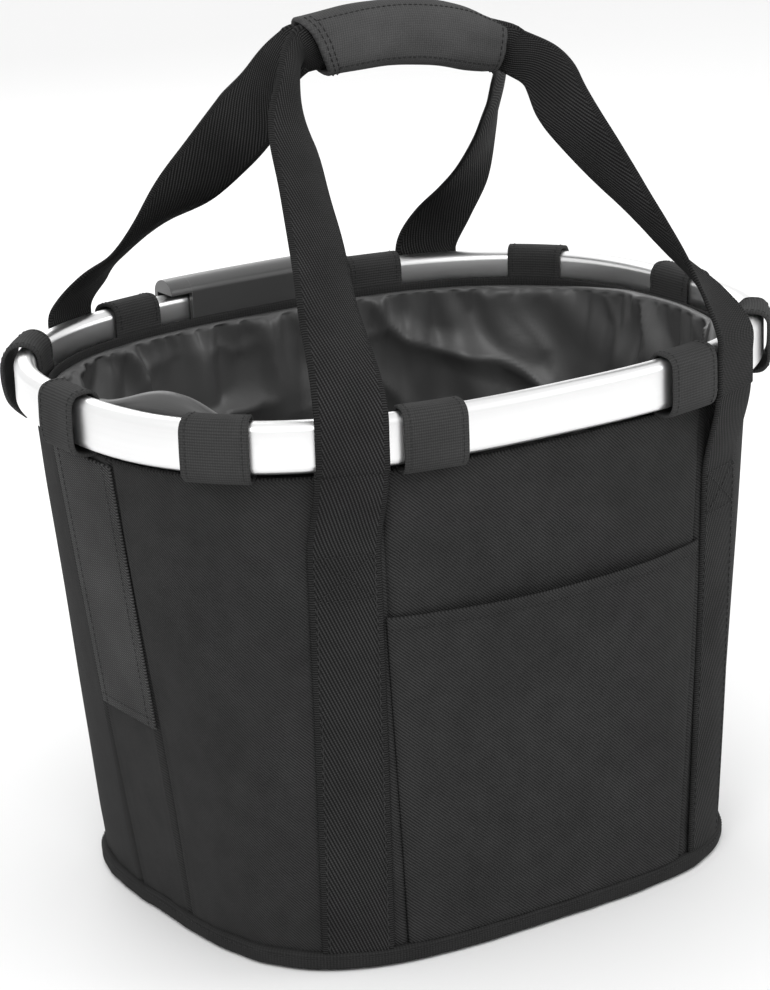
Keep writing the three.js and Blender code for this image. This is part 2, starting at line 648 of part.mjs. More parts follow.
function alongGrip(profile, curveSegments) {
  const length = GRIP.rightX - GRIP.leftX;
  const straight = new THREE.ExtrudeGeometry(profile, {
    depth: length, steps: 7, curveSegments, bevelEnabled: false,
  });
  return mapVertices(straight, (point) => {
    const x = GRIP.leftX + point.z;
    point.set(x, point.x, gripHeight(x) + point.y);
  });
}

function addGrip() {
  const halfHeight = GRIP.height / 2;
  const front = -GRIP.depth / 2;
  const outer = GRIP.corner;
  const inner = outer - GRIP.wall;
  const wrap = new THREE.Shape();
  wrap.moveTo(GRIP.mouthY, halfHeight);
  wrap.lineTo(front + outer, halfHeight);
  wrap.absarc(front + outer, halfHeight - outer, outer, Math.PI / 2, Math.PI, false);
  wrap.absarc(front + outer, -halfHeight + outer, outer, Math.PI, 1.5 * Math.PI, false);
  wrap.lineTo(GRIP.mouthY, -halfHeight);
  wrap.lineTo(GRIP.mouthY, -halfHeight + GRIP.wall);
  wrap.absarc(front + outer, -halfHeight + outer, inner, 1.5 * Math.PI, Math.PI, true);
  wrap.absarc(front + outer, halfHeight - outer, inner, Math.PI, Math.PI / 2, true);
  wrap.lineTo(GRIP.mouthY, halfHeight - GRIP.wall);
  add('grip_wrap', alongGrip(wrap, 2), MATERIAL.shell);

  const rear = GRIP.depth / 2;
  const start = GRIP.mouthY + FLAP.mouthGap;
  const thin = outer - FLAP.thickness;
  const flap = new THREE.Shape();
  flap.moveTo(start, halfHeight - FLAP.thickness);
  flap.absarc(rear - outer, halfHeight - outer, thin, Math.PI / 2, 0, true);
  flap.absarc(rear - outer, -halfHeight + outer, thin, 0, -Math.PI / 2, true);
  flap.lineTo(start, -halfHeight + FLAP.thickness);
  flap.lineTo(start, -halfHeight);
  flap.absarc(rear - outer, -halfHeight + outer, outer, -Math.PI / 2, 0, false);
  flap.absarc(rear - outer, halfHeight - outer, outer, 0, Math.PI / 2, false);
  flap.lineTo(start, halfHeight);
  add('grip_flap', alongGrip(flap, 2), MATERIAL.shell);
}

addBase();
addWalls();
addEndStrips();
addLining();
addPocket();
addStraps();
addRim();
addLoops();
addCover();
addBackPlate();
addInnerPlate();
addScrews();
addButton();
addHandles();
addGrip();

export default basket;
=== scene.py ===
"""Handlebar basket: cloth, webbing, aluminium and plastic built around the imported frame.

Metres, in the frame of the CAD model: +X along the basket, -Y towards the pocket side, +Z up.
"""
import json
import math

import bpy
import numpy as np
from mathutils import Matrix, Vector, noise


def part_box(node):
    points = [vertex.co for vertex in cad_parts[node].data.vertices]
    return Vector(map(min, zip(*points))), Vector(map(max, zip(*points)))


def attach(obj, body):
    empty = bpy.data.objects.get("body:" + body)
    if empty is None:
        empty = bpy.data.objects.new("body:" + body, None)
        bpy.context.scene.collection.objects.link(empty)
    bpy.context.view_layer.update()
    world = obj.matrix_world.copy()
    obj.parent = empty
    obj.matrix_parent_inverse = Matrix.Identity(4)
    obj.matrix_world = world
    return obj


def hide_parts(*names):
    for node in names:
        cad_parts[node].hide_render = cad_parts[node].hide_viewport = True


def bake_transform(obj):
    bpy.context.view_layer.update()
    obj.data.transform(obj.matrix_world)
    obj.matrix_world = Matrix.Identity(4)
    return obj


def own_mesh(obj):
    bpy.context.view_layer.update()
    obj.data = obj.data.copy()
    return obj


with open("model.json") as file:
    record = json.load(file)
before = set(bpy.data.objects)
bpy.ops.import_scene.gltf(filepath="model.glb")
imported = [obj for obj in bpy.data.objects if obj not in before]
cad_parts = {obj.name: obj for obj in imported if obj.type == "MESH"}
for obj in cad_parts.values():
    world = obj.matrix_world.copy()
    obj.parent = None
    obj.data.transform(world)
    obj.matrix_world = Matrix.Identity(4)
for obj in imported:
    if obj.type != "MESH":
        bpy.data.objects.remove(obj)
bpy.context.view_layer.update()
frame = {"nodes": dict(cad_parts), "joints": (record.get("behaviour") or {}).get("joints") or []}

MM = 0.001

# ------------------------------------------------------------------ sizes read from the frame
RIM_LOW, RIM_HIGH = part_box("rim_tube")
RIM_MIDDLE = (RIM_LOW[2] + RIM_HIGH[2]) / 2
TUBE_HEIGHT = RIM_HIGH[2] - RIM_LOW[2]
TUBE_THICKNESS = 10 * MM
TUBE_CORNER = 4.6 * MM

SHELL_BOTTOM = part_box("front_panel")[0][2]
SHELL_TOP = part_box("front_panel")[1][2]
SHELL_THICKNESS = 2 * MM
BINDING_LOW, BINDING_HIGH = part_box("base_binding")
LINING_LOW, LINING_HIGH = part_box("lining")
POCKET_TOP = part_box("front_pocket")[1][2]
LINING_SEAM = 241 * MM
LINING_FLOOR = LINING_LOW[2] + 0.6 * MM
ROLL_SHARE = 0.1
LINING_FULLNESS = 0.07               # how much larger the lining is cut than its place
STRIP_LOW, STRIP_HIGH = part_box("left_end_strip")
COVER_LOW, COVER_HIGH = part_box("bracket_cover")

WEBBING_WIDTH = 30 * MM
WEBBING_THICKNESS = 1.8 * MM
STRAP_X_LOW = 97.5 * MM
STRAP_X_HIGH = 103 * MM
STRAP_SPLIT = 237 * MM                 # below it a strap is sewn down, above it belongs to a handle
BOX_STITCH = (177 * MM, 197 * MM)

COLLAPSE = next(j for j in frame["joints"] if j["name"] == "body_collapse")
TRAVEL = max(abs(v) for v in COLLAPSE["range_m"])

GRIP_LEFT = -41 * MM
GRIP_RIGHT = 63 * MM


# ------------------------------------------------------------------ outlines
class Outline:
    """A superellipse |x/half_x|^power + |y/half_y|^power = 1."""

    def __init__(self, half_x, half_y, power):
        self.half_x, self.half_y, self.power = half_x, half_y, power

    def towards(self, other, t):
        return Outline(*(a + (b - a) * t for a, b in zip(self.numbers(), other.numbers())))

    def numbers(self):
        return self.half_x, self.half_y, self.power

    def inset(self, distance):
        return Outline(self.half_x - distance, self.half_y - distance, self.power)

    def point(self, angle):
        c, s = np.cos(angle), np.sin(angle)
        x = self.half_x * np.sign(c) * np.abs(c) ** (2 / self.power)
        y = self.half_y * np.sign(s) * np.abs(s) ** (2 / self.power)
        return x, y

    def y_at(self, x):
        return self.half_y * (1 - np.abs(x / self.half_x) ** self.power) ** (1 / self.power)

    def x_at(self, y):
        return self.half_x * (1 - np.abs(y / self.half_y) ** self.power) ** (1 / self.power)

    def normal(self, x, y):
        nx = np.sign(x) * np.abs(x / self.half_x) ** (self.power - 1) / self.half_x
        ny = np.sign(y) * np.abs(y / self.half_y) ** (self.power - 1) / self.half_y
        length = np.hypot(nx, ny)
        return nx / length, ny / length

    def even_angles(self, count):
        """Angles of count points spaced evenly round the outline, the first one repeated at the end."""
        fine = np.linspace(0, 2 * np.pi, 8000)
        x, y = self.point(fine)
        run = np.concatenate([[0], np.cumsum(np.hypot(np.diff(x), np.diff(y)))])
        return np.interp(np.linspace(0, run[-1], count), run, fine), run[-1]


RIM = Outline(RIM_HIGH[0], RIM_HIGH[1], 2.6)
RIM_CENTRE = RIM.inset(TUBE_THICKNESS / 2)
BASE = Outline(BINDING_HIGH[0], BINDING_HIGH[1], 3.4)
SHELL_FOOT = Outline(136.6 * MM, 115.8 * MM, 3.4)
SHELL_HEAD = Outline(167 * MM, 128 * MM, 2.6)
LINING_FOOT = Outline(132.5 * MM, 111.5 * MM, 3.4)
LINING_HEAD = Outline(LINING_HIGH[0], LINING_HIGH[1], 2.6)


def shell_outline(z):
    return SHELL_FOOT.towards(SHELL_HEAD, z / SHELL_TOP)


def smooth(value, low, high):
    t = np.clip((value - low) / (high - low), 0, 1)
    return t * t * (3 - 2 * t)


def strap_outline(z):
    """A strap follows the shell, then steps out over the outside of the rim."""
    return shell_outline(np.minimum(z, SHELL_TOP)).towards(RIM, smooth(z, 196 * MM, 238 * MM))


def seam_x(z):
    return 76 * MM + 11 * MM * z / SHELL_TOP


def seam_y(z):
    return 23 * MM + 3 * MM * z / SHELL_TOP


def rolling(points, scale, seed):
    """Smooth noise from -1 to 1 at each point of an array, at a length scale in metres."""
    flat = np.asarray(points).reshape(-1, 3) / scale
    values = [noise.noise(Vector((p[0] + seed, p[1] - seed, p[2] + 0.37 * seed))) for p in flat]
    return np.array(values).reshape(np.asarray(points).shape[:-1])


# ------------------------------------------------------------------ meshes
def new_object(name, vertices, faces, corner_uvs, material):
    mesh = bpy.data.meshes.new(name)
    mesh.from_pydata([tuple(v) for v in vertices], [], faces)
    layer = mesh.uv_layers.new(name="cut")
    layer.data.foreach_set("uv", np.asarray(corner_uvs, dtype=np.float32).ravel())
    mesh.polygons.foreach_set("use_smooth", [True] * len(mesh.polygons))
    mesh.materials.append(material)
    mesh.update()
    piece = bpy.data.objects.new(name, mesh)
    bpy.context.scene.collection.objects.link(piece)
    return piece


def compact(vertices, faces):
    used = sorted({i for face in faces for i in face})
    place = {old: new for new, old in enumerate(used)}
    return [vertices[i] for i in used], [tuple(place[i] for i in face) for face in faces]


def unit(vectors):
    return vectors / np.maximum(np.linalg.norm(vectors, axis=-1, keepdims=True), 1e-12)


def grid_normals(grid, closed):
    if closed:
        ring = grid[:-1]
        along = np.roll(ring, -1, axis=0) - np.roll(ring, 1, axis=0)
        along = np.concatenate([along, along[:1]])
    else:
        along = np.gradient(grid, axis=0)
    across = np.gradient(grid, axis=1)
    normal = np.cross(along, across)
    return unit(normal), unit(along), unit(across)


def slab(name, middle, uv, thickness, material, closed=False, round_edge=0.55):
    """A sheet with a thickness and rounded edges, from the grid of points in its middle.

    closed joins the grid's last row to its first, which it repeats.
    """
    rows, columns = middle.shape[:2]
    normal, along, across = grid_normals(middle, closed)
    half = np.asarray(thickness / 2)
    half = half[..., None] if half.ndim else half
    out_dir = np.zeros_like(middle)
    out_dir[:, 0] -= across[:, 0]
    out_dir[:, -1] += across[:, -1]
    if not closed:
        out_dir[0] -= along[0]
        out_dir[-1] += along[-1]
    rim_points = middle + out_dir * (2 * half * round_edge)
    vertices = np.concatenate([
        (middle + normal * half).reshape(-1, 3),
        (middle - normal * half).reshape(-1, 3),
        rim_points.reshape(-1, 3),
    ])
    index = np.arange(rows * columns).reshape(rows, columns)
    shared = index.copy()
    if closed:
        shared[-1] = shared[0]
    size = rows * columns
    faces, uv_index = [], []

    def quad(a, b, c, d, layers):
        corners = [a, b, c, d]
        faces.append(tuple(int(shared.flat[k] + size * layer) for k, layer in zip(corners, layers)))
        uv_index.extend(int(k) for k in corners)

    for i in range(rows - 1):
        for j in range(columns - 1):
            a, b, c, d = index[i, j], index[i + 1, j], index[i + 1, j + 1], index[i, j + 1]
            quad(a, b, c, d, (0, 0, 0, 0))
            quad(d, c, b, a, (1, 1, 1, 1))
    border = []
    for i in range(rows - 1):
        border.append((index[i, 0], index[i + 1, 0]))
        border.append((index[i + 1, -1], index[i, -1]))
    if not closed:
        for j in range(columns - 1):
            border.append((index[0, j + 1], index[0, j]))
            border.append((index[-1, j], index[-1, j + 1]))
    for a, b in border:
        quad(b, a, a, b, (0, 0, 2, 2))
        quad(b, a, a, b, (2, 2, 1, 1))
    kept, faces = compact(vertices, faces)
    corner_uvs = uv.reshape(-1, 2)[uv_index]
    return new_object(name, kept, faces, corner_uvs, material)


def sweep(name, sections, material, closed, uv_scale=1.0):
    """A solid from a row of equal closed sections; open ends are capped."""
    rings, count = sections.shape[:2]
    step = np.linalg.norm(np.diff(sections, axis=0), axis=2).mean(axis=1)
    along = np.concatenate([[0], np.cumsum(step)])
    loop = np.concatenate([sections[0], sections[0][:1]])
    around = np.concatenate([[0], np.cumsum(np.linalg.norm(np.diff(loop, axis=0), axis=1))])
    faces, uvs = [], []
    for i in range(rings - 1):
        following = 0 if closed and i == rings - 2 else i + 1
        for j in range(count):
            k = (j + 1) % count
            faces.append((i * count + j, following * count + j, following * count + k, i * count + k))
            uvs += [(around[j], along[i]), (around[j], along[i + 1]),
                    (around[j + 1], along[i + 1]), (around[j + 1], along[i])]
    if not closed:
        faces.append(tuple(range(count)))
        faces.append(tuple((rings - 1) * count + j for j in reversed(range(count))))
        uvs += [(0.0, 0.0)] * (2 * count)
    kept, faces = compact(sections.reshape(-1, 3), faces)
    return new_object(name, kept, faces, np.array(uvs) * uv_scale, material)


def stitches(name, rows, material, pitch=3.2 * MM, thread=0.42 * MM):
    """Runs of thread: each row is (points, normals) of a line lying on the cloth."""
    vertices, faces = [], []
    sides, stations = 6, 5
    for points, normals in rows:
        points, normals = np.asarray(points, float), np.asarray(normals, float)
        run = np.concatenate([[0], np.cumsum(np.linalg.norm(np.diff(points, axis=0), axis=1))])
        count = max(int(run[-1] / pitch), 1)
        for s in range(count):
            start = len(vertices)
            place = (s + 0.14 + 0.72 * np.linspace(0, 1, stations)) * run[-1] / count
            centre = np.stack([np.interp(place, run, points[:, k]) for k in range(3)], axis=1)
            up = np.stack([np.interp(place, run, normals[:, k]) for k in range(3)], axis=1)
            ahead = centre[-1] - centre[0]
            ahead /= max(np.linalg.norm(ahead), 1e-12)
            for m in range(stations):
                swell = math.sin(math.pi * (m + 0.35) / (stations - 0.3))
                side = np.cross(ahead, up[m])
                side /= max(np.linalg.norm(side), 1e-12)
                for q in range(sides):
                    turn = 2 * math.pi * q / sides
                    lift = thread * (0.5 * swell - 0.15 + 0.5 * swell * math.sin(turn))
                    shift = 0.5 * thread * (0.45 + 0.55 * swell) * math.cos(turn)
                    vertices.append(centre[m] + up[m] * lift + side * shift)
            for m in range(stations - 1):
                for q in range(sides):
                    r = (q + 1) % sides
                    faces.append((start + m * sides + q, start + m * sides + r,
                                  start + (m + 1) * sides + r, start + (m + 1) * sides + q))
            faces.append(tuple(start + q for q in reversed(range(sides))))
            faces.append(tuple(start + (stations - 1) * sides + q for q in range(sides)))
    total = sum(len(face) for face in faces)
    return new_object(name, vertices, faces, np.zeros((total, 2)), material)


def spline(points, count):
    """Evenly spaced points on a smooth curve through the given ones."""
    points = np.asarray(points, float)
    padded = np.concatenate([[2 * points[0] - points[1]], points, [2 * points[-1] - points[-2]]])
    fine = []
    for k in range(len(points) - 1):
        p0, p1, p2, p3 = padded[k:k + 4]
        for t in np.linspace(0, 1, 24, endpoint=False):
            fine.append(0.5 * (2 * p1 + (p2 - p0) * t + (2 * p0 - 5 * p1 + 4 * p2 - p3) * t ** 2
                               + (3 * p1 - p0 - 3 * p2 + p3) * t ** 3))
    fine.append(points[-1])
    fine = np.array(fine)
    run = np.concatenate([[0], np.cumsum(np.linalg.norm(np.diff(fine, axis=0), axis=1))])
    even = np.linspace(0, run[-1], count)
    return np.stack([np.interp(even, run, fine[:, k]) for k in range(points.shape[1])], axis=1), run[-1]


# ------------------------------------------------------------------ shader building
class Value:
    """A number that varies over a surface. Python's operators add Math nodes."""

    def __init__(self, finish, socket):
        self.finish, self.socket = finish, socket

    def math(self, operation, other=None, flipped=False):
        values = [self] if other is None else [other, self] if flipped else [self, other]
        settings = {"operation": operation}
        node = self.finish.node("ShaderNodeMath", settings, dict(enumerate(values)))
        return Value(self.finish, node.outputs[0])

    def __add__(self, other):
        return self.math("ADD", other)

    def __radd__(self, other):
        return self.math("ADD", other)

    def __sub__(self, other):
        return self.math("SUBTRACT", other)

    def __rsub__(self, other):
        return self.math("SUBTRACT", other, True)

    def __mul__(self, other):
        return self.math("MULTIPLY", other)

    def __rmul__(self, other):
        return self.math("MULTIPLY", other)

    def sin(self):
        return self.math("SINE")

    def abs(self):
        return self.math("ABSOLUTE")

    def above(self, other):
        return self.math("GREATER_THAN", other)


class Finish:
    """A node material: a Principled shader with what varies worked out from node maths."""

    def __init__(self, name, **constants):
        self.material = bpy.data.materials.new(name)
        self.material.use_nodes = True
        self.tree = self.material.node_tree
        self.tree.nodes.clear()
        self.output = self.node("ShaderNodeOutputMaterial")
        self.shader = self.node("ShaderNodeBsdfPrincipled", inputs=constants)
        self.tree.links.new(self.shader.outputs[0], self.output.inputs[0])
        self.places = self.node("ShaderNodeTexCoord")

    def node(self, kind, settings=None, inputs=None):
        node = self.tree.nodes.new(kind)
        for key, value in (settings or {}).items():
            setattr(node, key, value)
        for key, value in (inputs or {}).items():
            socket = node.inputs[key.replace("_", " ") if isinstance(key, str) else key]
            if isinstance(value, Value):
                self.tree.links.new(value.socket, socket)
            elif isinstance(value, bpy.types.NodeSocket):
                self.tree.links.new(value, socket)
            else:
                socket.default_value = value
        return node

    def cut(self):
        """Position on the flat cloth, in millimetres."""
        split = self.node("ShaderNodeSeparateXYZ", inputs={0: self.places.outputs["UV"]})
        return Value(self, split.outputs[0]) * 1000.0, Value(self, split.outputs[1]) * 1000.0

    def noise(self, scale, detail=3.0, roughness=0.5, stretch=None, on="Object"):
        vector = self.places.outputs[on]
        if stretch:
            mapping = self.node("ShaderNodeMapping", inputs={"Vector": vector, "Scale": stretch})
            vector = mapping.outputs[0]
        inputs = {"Vector": vector, "Scale": scale, "Detail": detail, "Roughness": roughness}
        return Value(self, self.node("ShaderNodeTexNoise", inputs=inputs).outputs["Fac"])

    def colour(self, dark, light, factor):
        mix = self.node("ShaderNodeMix", {"data_type": "RGBA", "clamp_factor": True},
                        {0: factor, 6: (*dark, 1.0), 7: (*light, 1.0)})
        self.tree.links.new(mix.outputs[2], self.shader.inputs["Base Color"])

    def roughness(self, value):
        self.tree.links.new(value.socket, self.shader.inputs["Roughness"])

    def bump(self, height, depth, strength=1.0):
        node = self.node("ShaderNodeBump", inputs={
            "Height": height, "Distance": depth, "Strength": strength})
        self.tree.links.new(node.outputs[0], self.shader.inputs["Normal"])


def grey(level):
    return level, level, level


def wave(value, period, phase=0.0):
    """0 to 1 along value, once every period."""
    return (value * (2 * math.pi / period) + phase).sin() * 0.5 + 0.5


def twill_cloth(name, level, period=1.5, slope=0.9, contrast=0.75, relief=0.22 * MM):
    finish = Finish(name, Specular_IOR_Level=0.1)
    u, v = finish.cut()
    wobble = finish.noise(45.0, 2.0) * 0.7
    rib = wave(u * slope + v + wobble, period)
    weft = wave(u - v * 0.6, 0.8)
    weave = rib * 0.72 + rib * weft * 0.28
    patches = finish.noise(17.0, 5.0, 0.65)
    worn = finish.noise(90.0, 4.0, 0.6)
    lint = finish.noise(1900.0, 2.0, 0.7)
    ribs = weave * contrast * (patches * 1.1 + 0.35)
    shade = ribs + worn * 0.3 + (lint - 0.5) * 0.5 + (0.18 - contrast / 3)
    finish.colour(grey(level * 0.35), grey(level * 2.1), shade)
    finish.roughness(patches * 0.12 + 0.8)
    finish.bump(weave + (lint - 0.5) * 0.4, relief, 0.9)
    return finish.material


def webbing_cloth(name, level, period=1.45, slope=0.42, contrast=0.85):
    """Steep diagonal ribs broken into dots by the binding threads, with a plain edge on both sides."""
    finish = Finish(name, Specular_IOR_Level=0.12)
    u, v = finish.cut()
    wobble = finish.noise(70.0, 2.0) * 0.4
    rib = wave(u + v * slope + wobble, period)
    dots = wave(v - u * 0.35, 1.15)
    body = rib * 0.55 + rib * dots * 0.45
    edge = (u.abs() - 13.4).above(0.0)
    selvedge = wave(v, 1.1)
    weave = body * (1 - edge) + selvedge * edge * 0.6
    patches = finish.noise(28.0, 4.0, 0.6)
    fuzz = finish.noise(2300.0, 2.0, 0.7)
    ribs = weave * contrast * (patches + 0.45)
    shade = ribs + patches * 0.15 + (fuzz - 0.5) * 0.55 + (0.2 - contrast / 3)
    finish.colour(grey(level * 0.3), grey(level * 2.3), shade)
    finish.roughness(0.88 - weave * 0.16)
    finish.bump(weave + (fuzz - 0.5) * 0.3, 0.34 * MM, 0.9)
    return finish.material


def tape_cloth(name, level, rib_period=1.25, contrast=0.5, relief=0.2 * MM):
    """Fine tape with ribs across it and a faint line of warp threads."""
    finish = Finish(name, Specular_IOR_Level=0.1)
    u, v = finish.cut()
    rib = wave(v, rib_period)
    warp = wave(u, 1.0)
    weave = rib * 0.5 + warp * 0.25 + rib * warp * 0.25
    patches = finish.noise(40.0, 4.0, 0.6)
    fuzz = finish.noise(2100.0, 2.0, 0.7)
    shade = weave * contrast + patches * 0.45 + (fuzz - 0.5) * 0.6 + (0.25 - contrast / 2)
    finish.colour(grey(level * 0.45), grey(level * 1.75), shade)
    finish.roughness(0.92 - patches * 0.12)
    finish.bump(weave + (fuzz - 0.5) * 0.45, relief, 0.9)
    return finish.material


def lining_cloth():
    finish = Finish("lining_nylon", Specular_IOR_Level=0.5)
    u, v = finish.cut()
    weave = wave(u, 0.55) * 0.5 + wave(v, 0.55) * 0.5
    crease = finish.noise(55.0, 5.0, 0.62)
    patches = finish.noise(11.0, 3.0)
    # crease also sets the colour: painted shade, darker in the hollows of the creases and lighter on their
    # ridges
    shade = weave * 0.15 + patches * 0.45 + crease * 0.25 + 0.1
    finish.colour(grey(0.038), grey(0.08), shade)
    finish.roughness(patches * 0.14 + 0.34)
    finish.bump(crease * 0.8 + weave * 0.05, 0.9 * MM, 0.35)
    return finish.material


def satin_aluminium():
    finish = Finish("satin_aluminium", Metallic=1.0, Anisotropic=0.4)
    drawn = finish.noise(1.0, 3.0, 0.6, stretch=(2600.0, 9.0, 1.0), on="UV")
    broad = finish.noise(1.0, 2.0, 0.5, stretch=(240.0, 3.0, 1.0), on="UV")
    smudge = finish.noise(30.0, 4.0, 0.6)
    finish.colour(grey(0.8), grey(0.92), drawn * 0.25 + broad * 0.75)
    finish.roughness(drawn * 0.06 + smudge * 0.1 + 0.24)
    finish.bump(drawn, 0.006 * MM, 0.4)
    return finish.material


def satin_plastic():
    finish = Finish("satin_plastic", Specular_IOR_Level=0.5, Coat_Weight=0.6, Coat_Roughness=0.2)
    grain = finish.noise(1500.0, 3.0, 0.6)
    handled = finish.noise(18.0, 4.0, 0.6)
    finish.colour(grey(0.034), grey(0.058), handled * 0.7 + grain * 0.3)
    finish.roughness(handled * 0.14 + 0.3)
    finish.bump(grain, 0.05 * MM, 0.5)
    return finish.material


def zinc_steel():
    finish = Finish("zinc_steel", Metallic=1.0)
    grain = finish.noise(900.0, 3.0)
    finish.colour(grey(0.35), grey(0.6), grain)
    finish.roughness(grain * 0.2 + 0.25)
    return finish.material


def pressed_board():
    finish = Finish("pressed_board", Specular_IOR_Level=0.3)
    fibre = finish.noise(300.0, 5.0, 0.7)
    finish.colour(grey(0.014), grey(0.035), fibre)
    finish.roughness(fibre * 0.2 + 0.6)
    finish.bump(fibre, 0.1 * MM, 0.5)
    return finish.material


def sewing_thread():
    finish = Finish("sewing_thread", Specular_IOR_Level=0.3)
    ply = finish.noise(3000.0, 2.0)
    finish.colour(grey(0.008), grey(0.022), ply)
    finish.roughness(ply * 0.2 + 0.55)
    return finish.material


SHELL_CLOTH = twill_cloth("shell_twill", 0.024)
WEBBING = webbing_cloth("woven_webbing", 0.019, contrast=1.15)
LOOP_TAPE = tape_cloth("hook_and_loop_tape", 0.036)
EDGE_TAPE = tape_cloth("edge_tape", 0.02, rib_period=1.4)
END_TAPE = webbing_cloth("end_strip_webbing", 0.042, period=1.5, slope=1.0, contrast=0.9)
SLEEVE_CLOTH = tape_cloth("sleeve_cloth", 0.055, rib_period=1.2, contrast=0.35, relief=0.14 * MM)
LINING_CLOTH = lining_cloth()
ALUMINIUM = satin_aluminium()
PLASTIC = satin_plastic()
STEEL = zinc_steel()
BOARD = pressed_board()
THREAD = sewing_thread()


# ------------------------------------------------------------------ placing pieces
def on_body(piece, body, replaced=()):
    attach(piece, body)
    if replaced:
        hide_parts(*replaced)
    return piece


def on_bag(piece, replaced=(), top=SHELL_TOP):
    """A soft piece of the bag, on the bag body with a mesh of its own; the rim's level meets it at top."""
    on_body(piece, "bag", replaced)
    keep = 1 - TRAVEL / (top - SHELL_BOTTOM)
    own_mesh(piece)
    return piece


def pattern_size(plain):
    """(width, length) of a surface's cut, from its plain shape before slack, creases or settling."""
    width = np.linalg.norm(np.diff(plain, axis=0), axis=2).sum(axis=0).mean()
    length = np.linalg.norm(np.diff(plain, axis=1), axis=2).sum(axis=1).mean()
    return float(width), float(length)


# ------------------------------------------------------------------ base
def make_base():
    angles, _ = BASE.even_angles(289)
    low, high = BINDING_LOW[2], BINDING_HIGH[2]
    tall = high - low
    profile = []
    for turn in np.linspace(0, 2 * np.pi, 20, endpoint=False):
        c, s = math.cos(turn), math.sin(turn)
        out = 3 * MM * np.sign(c) * abs(c) ** 0.6
        up = tall / 2 * np.sign(s) * abs(s) ** 0.55
        profile.append((out, up))
    rings = []
    for angle in angles:
        x, y = BASE.point(angle)
        nx, ny = BASE.normal(x, y)
        ripple = 0.7 * MM * noise.noise(Vector((x * 75, y * 75, 4.0)))
        lump = 0.9 * MM * noise.noise(Vector((x * 60, y * 60, 9.0)))
        rings.append([
            (x + nx * (out - 3 * MM + ripple), y + ny * (out - 3 * MM + ripple),
             low + tall / 2 + up + lump * smooth(up, 0, tall / 2))
            for out, up in profile
        ])
    sections = np.array(rings)[:, ::-1]
    binding = sweep("base_edge_tape", sections, EDGE_TAPE, closed=True)
    on_body(binding, "bag", ["base_binding"])

    seam, normals = [], []
    for angle in angles:
        x, y = BASE.point(angle)
        nx, ny = BASE.normal(x, y)
        seam.append((x + nx * 0.05 * MM, y + ny * 0.05 * MM, low + tall * 0.72))
        normals.append((nx, ny, 0.1))
    on_body(stitches("base_edge_stitching", [(seam, normals)], THREAD), "bag")

    panel = BASE.inset(6.4 * MM)
    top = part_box("bottom_panel")[1][2]
    shares = np.linspace(0.02, 1, 40)
    turns = np.linspace(0, 2 * np.pi, 121)
    x, y = panel.point(turns)
    plan = np.stack([np.outer(x, shares), np.outer(y, shares), np.zeros((121, 40))], axis=2)
    crown = 0.35 * MM * (1 - shares[None, :] ** 4) * (0.5 + 0.5 * rolling(plan, 0.04, 3.0))
    plan[:, :, 2] = top / 2 + crown
    uv = plan[:, :, :2].copy()
    bottom = slab("bottom_cloth", plan[:, ::-1], uv[:, ::-1], top, SHELL_CLOTH,
                  closed=True, round_edge=0.02)
    on_body(bottom, "bag", ["bottom_panel"])


# ------------------------------------------------------------------ walls
def wall_piece(name, seam_a, seam_b, columns, replaced, seed):
    rows = 84
    z = np.linspace(SHELL_BOTTOM - 2 * MM, SHELL_TOP, rows)
    grid = np.zeros((columns, rows, 3))
    plain = np.zeros((columns, rows, 3))
    uv = np.zeros((columns, rows, 2))
    for j, level in enumerate(z):
        outline = shell_outline(level)
        angle = np.linspace(seam_a(outline, level), seam_b(outline, level), 400)
        x, y = outline.inset(SHELL_THICKNESS / 2).point(angle)
        run = np.concatenate([[0], np.cumsum(np.hypot(np.diff(x), np.diff(y)))])
        even = np.linspace(0, run[-1], columns)
        x, y = np.interp(even, run, x), np.interp(even, run, y)
        nx, ny = outline.normal(x, y)
        edge = np.minimum(even, run[-1] - even)
        spot = np.stack([x, y, np.full(columns, level)], axis=1)
        plain[:, j] = spot
        high = smooth(level, SHELL_TOP - 60 * MM, SHELL_TOP)
        seam_tuck = -1.3 * MM * np.exp(-edge / (1.1 * MM))
        beside_seam = 0.25 * MM * np.exp(-((edge - 7 * MM) / (3 * MM)) ** 2)
        roll = seam_tuck + beside_seam
        draws = rolling(spot * (1, 1, 0.25), 0.013, seed) * 0.5 * MM * high
        slack = rolling(spot * (1, 1, 0.6), 0.055, seed + 5) * 1.1 * MM
        ridge = 0.8 * MM * np.exp(-((edge - 3 * MM) / (1.3 * MM)) ** 2)
        low = 1 - smooth(level, SHELL_BOTTOM, SHELL_BOTTOM + 26 * MM)
        pucker = rolling(spot * (1, 1, 0.5), 0.011, seed + 9) * 0.9 * MM * low
        settled = smooth(level, SHELL_BOTTOM, SHELL_BOTTOM + 20 * MM)
        shift = roll + ridge + draws + slack * settled + pucker
        grid[:, j] = np.stack([x + nx * shift, y + ny * shift, np.full(columns, level)], axis=1)
        uv[:, j, 0] = even - run[-1] / 2
        uv[:, j, 1] = level
    piece = slab(name, grid, uv, SHELL_THICKNESS, SHELL_CLOTH)
    on_bag(piece, replaced)
    return piece


def front_angle(outline, z):
    return np.arccos((seam_x(z) / outline.half_x) ** (outline.power / 2))


def end_angle(outline, z):
    return np.arcsin((seam_y(z) / outline.half_y) ** (outline.power / 2))


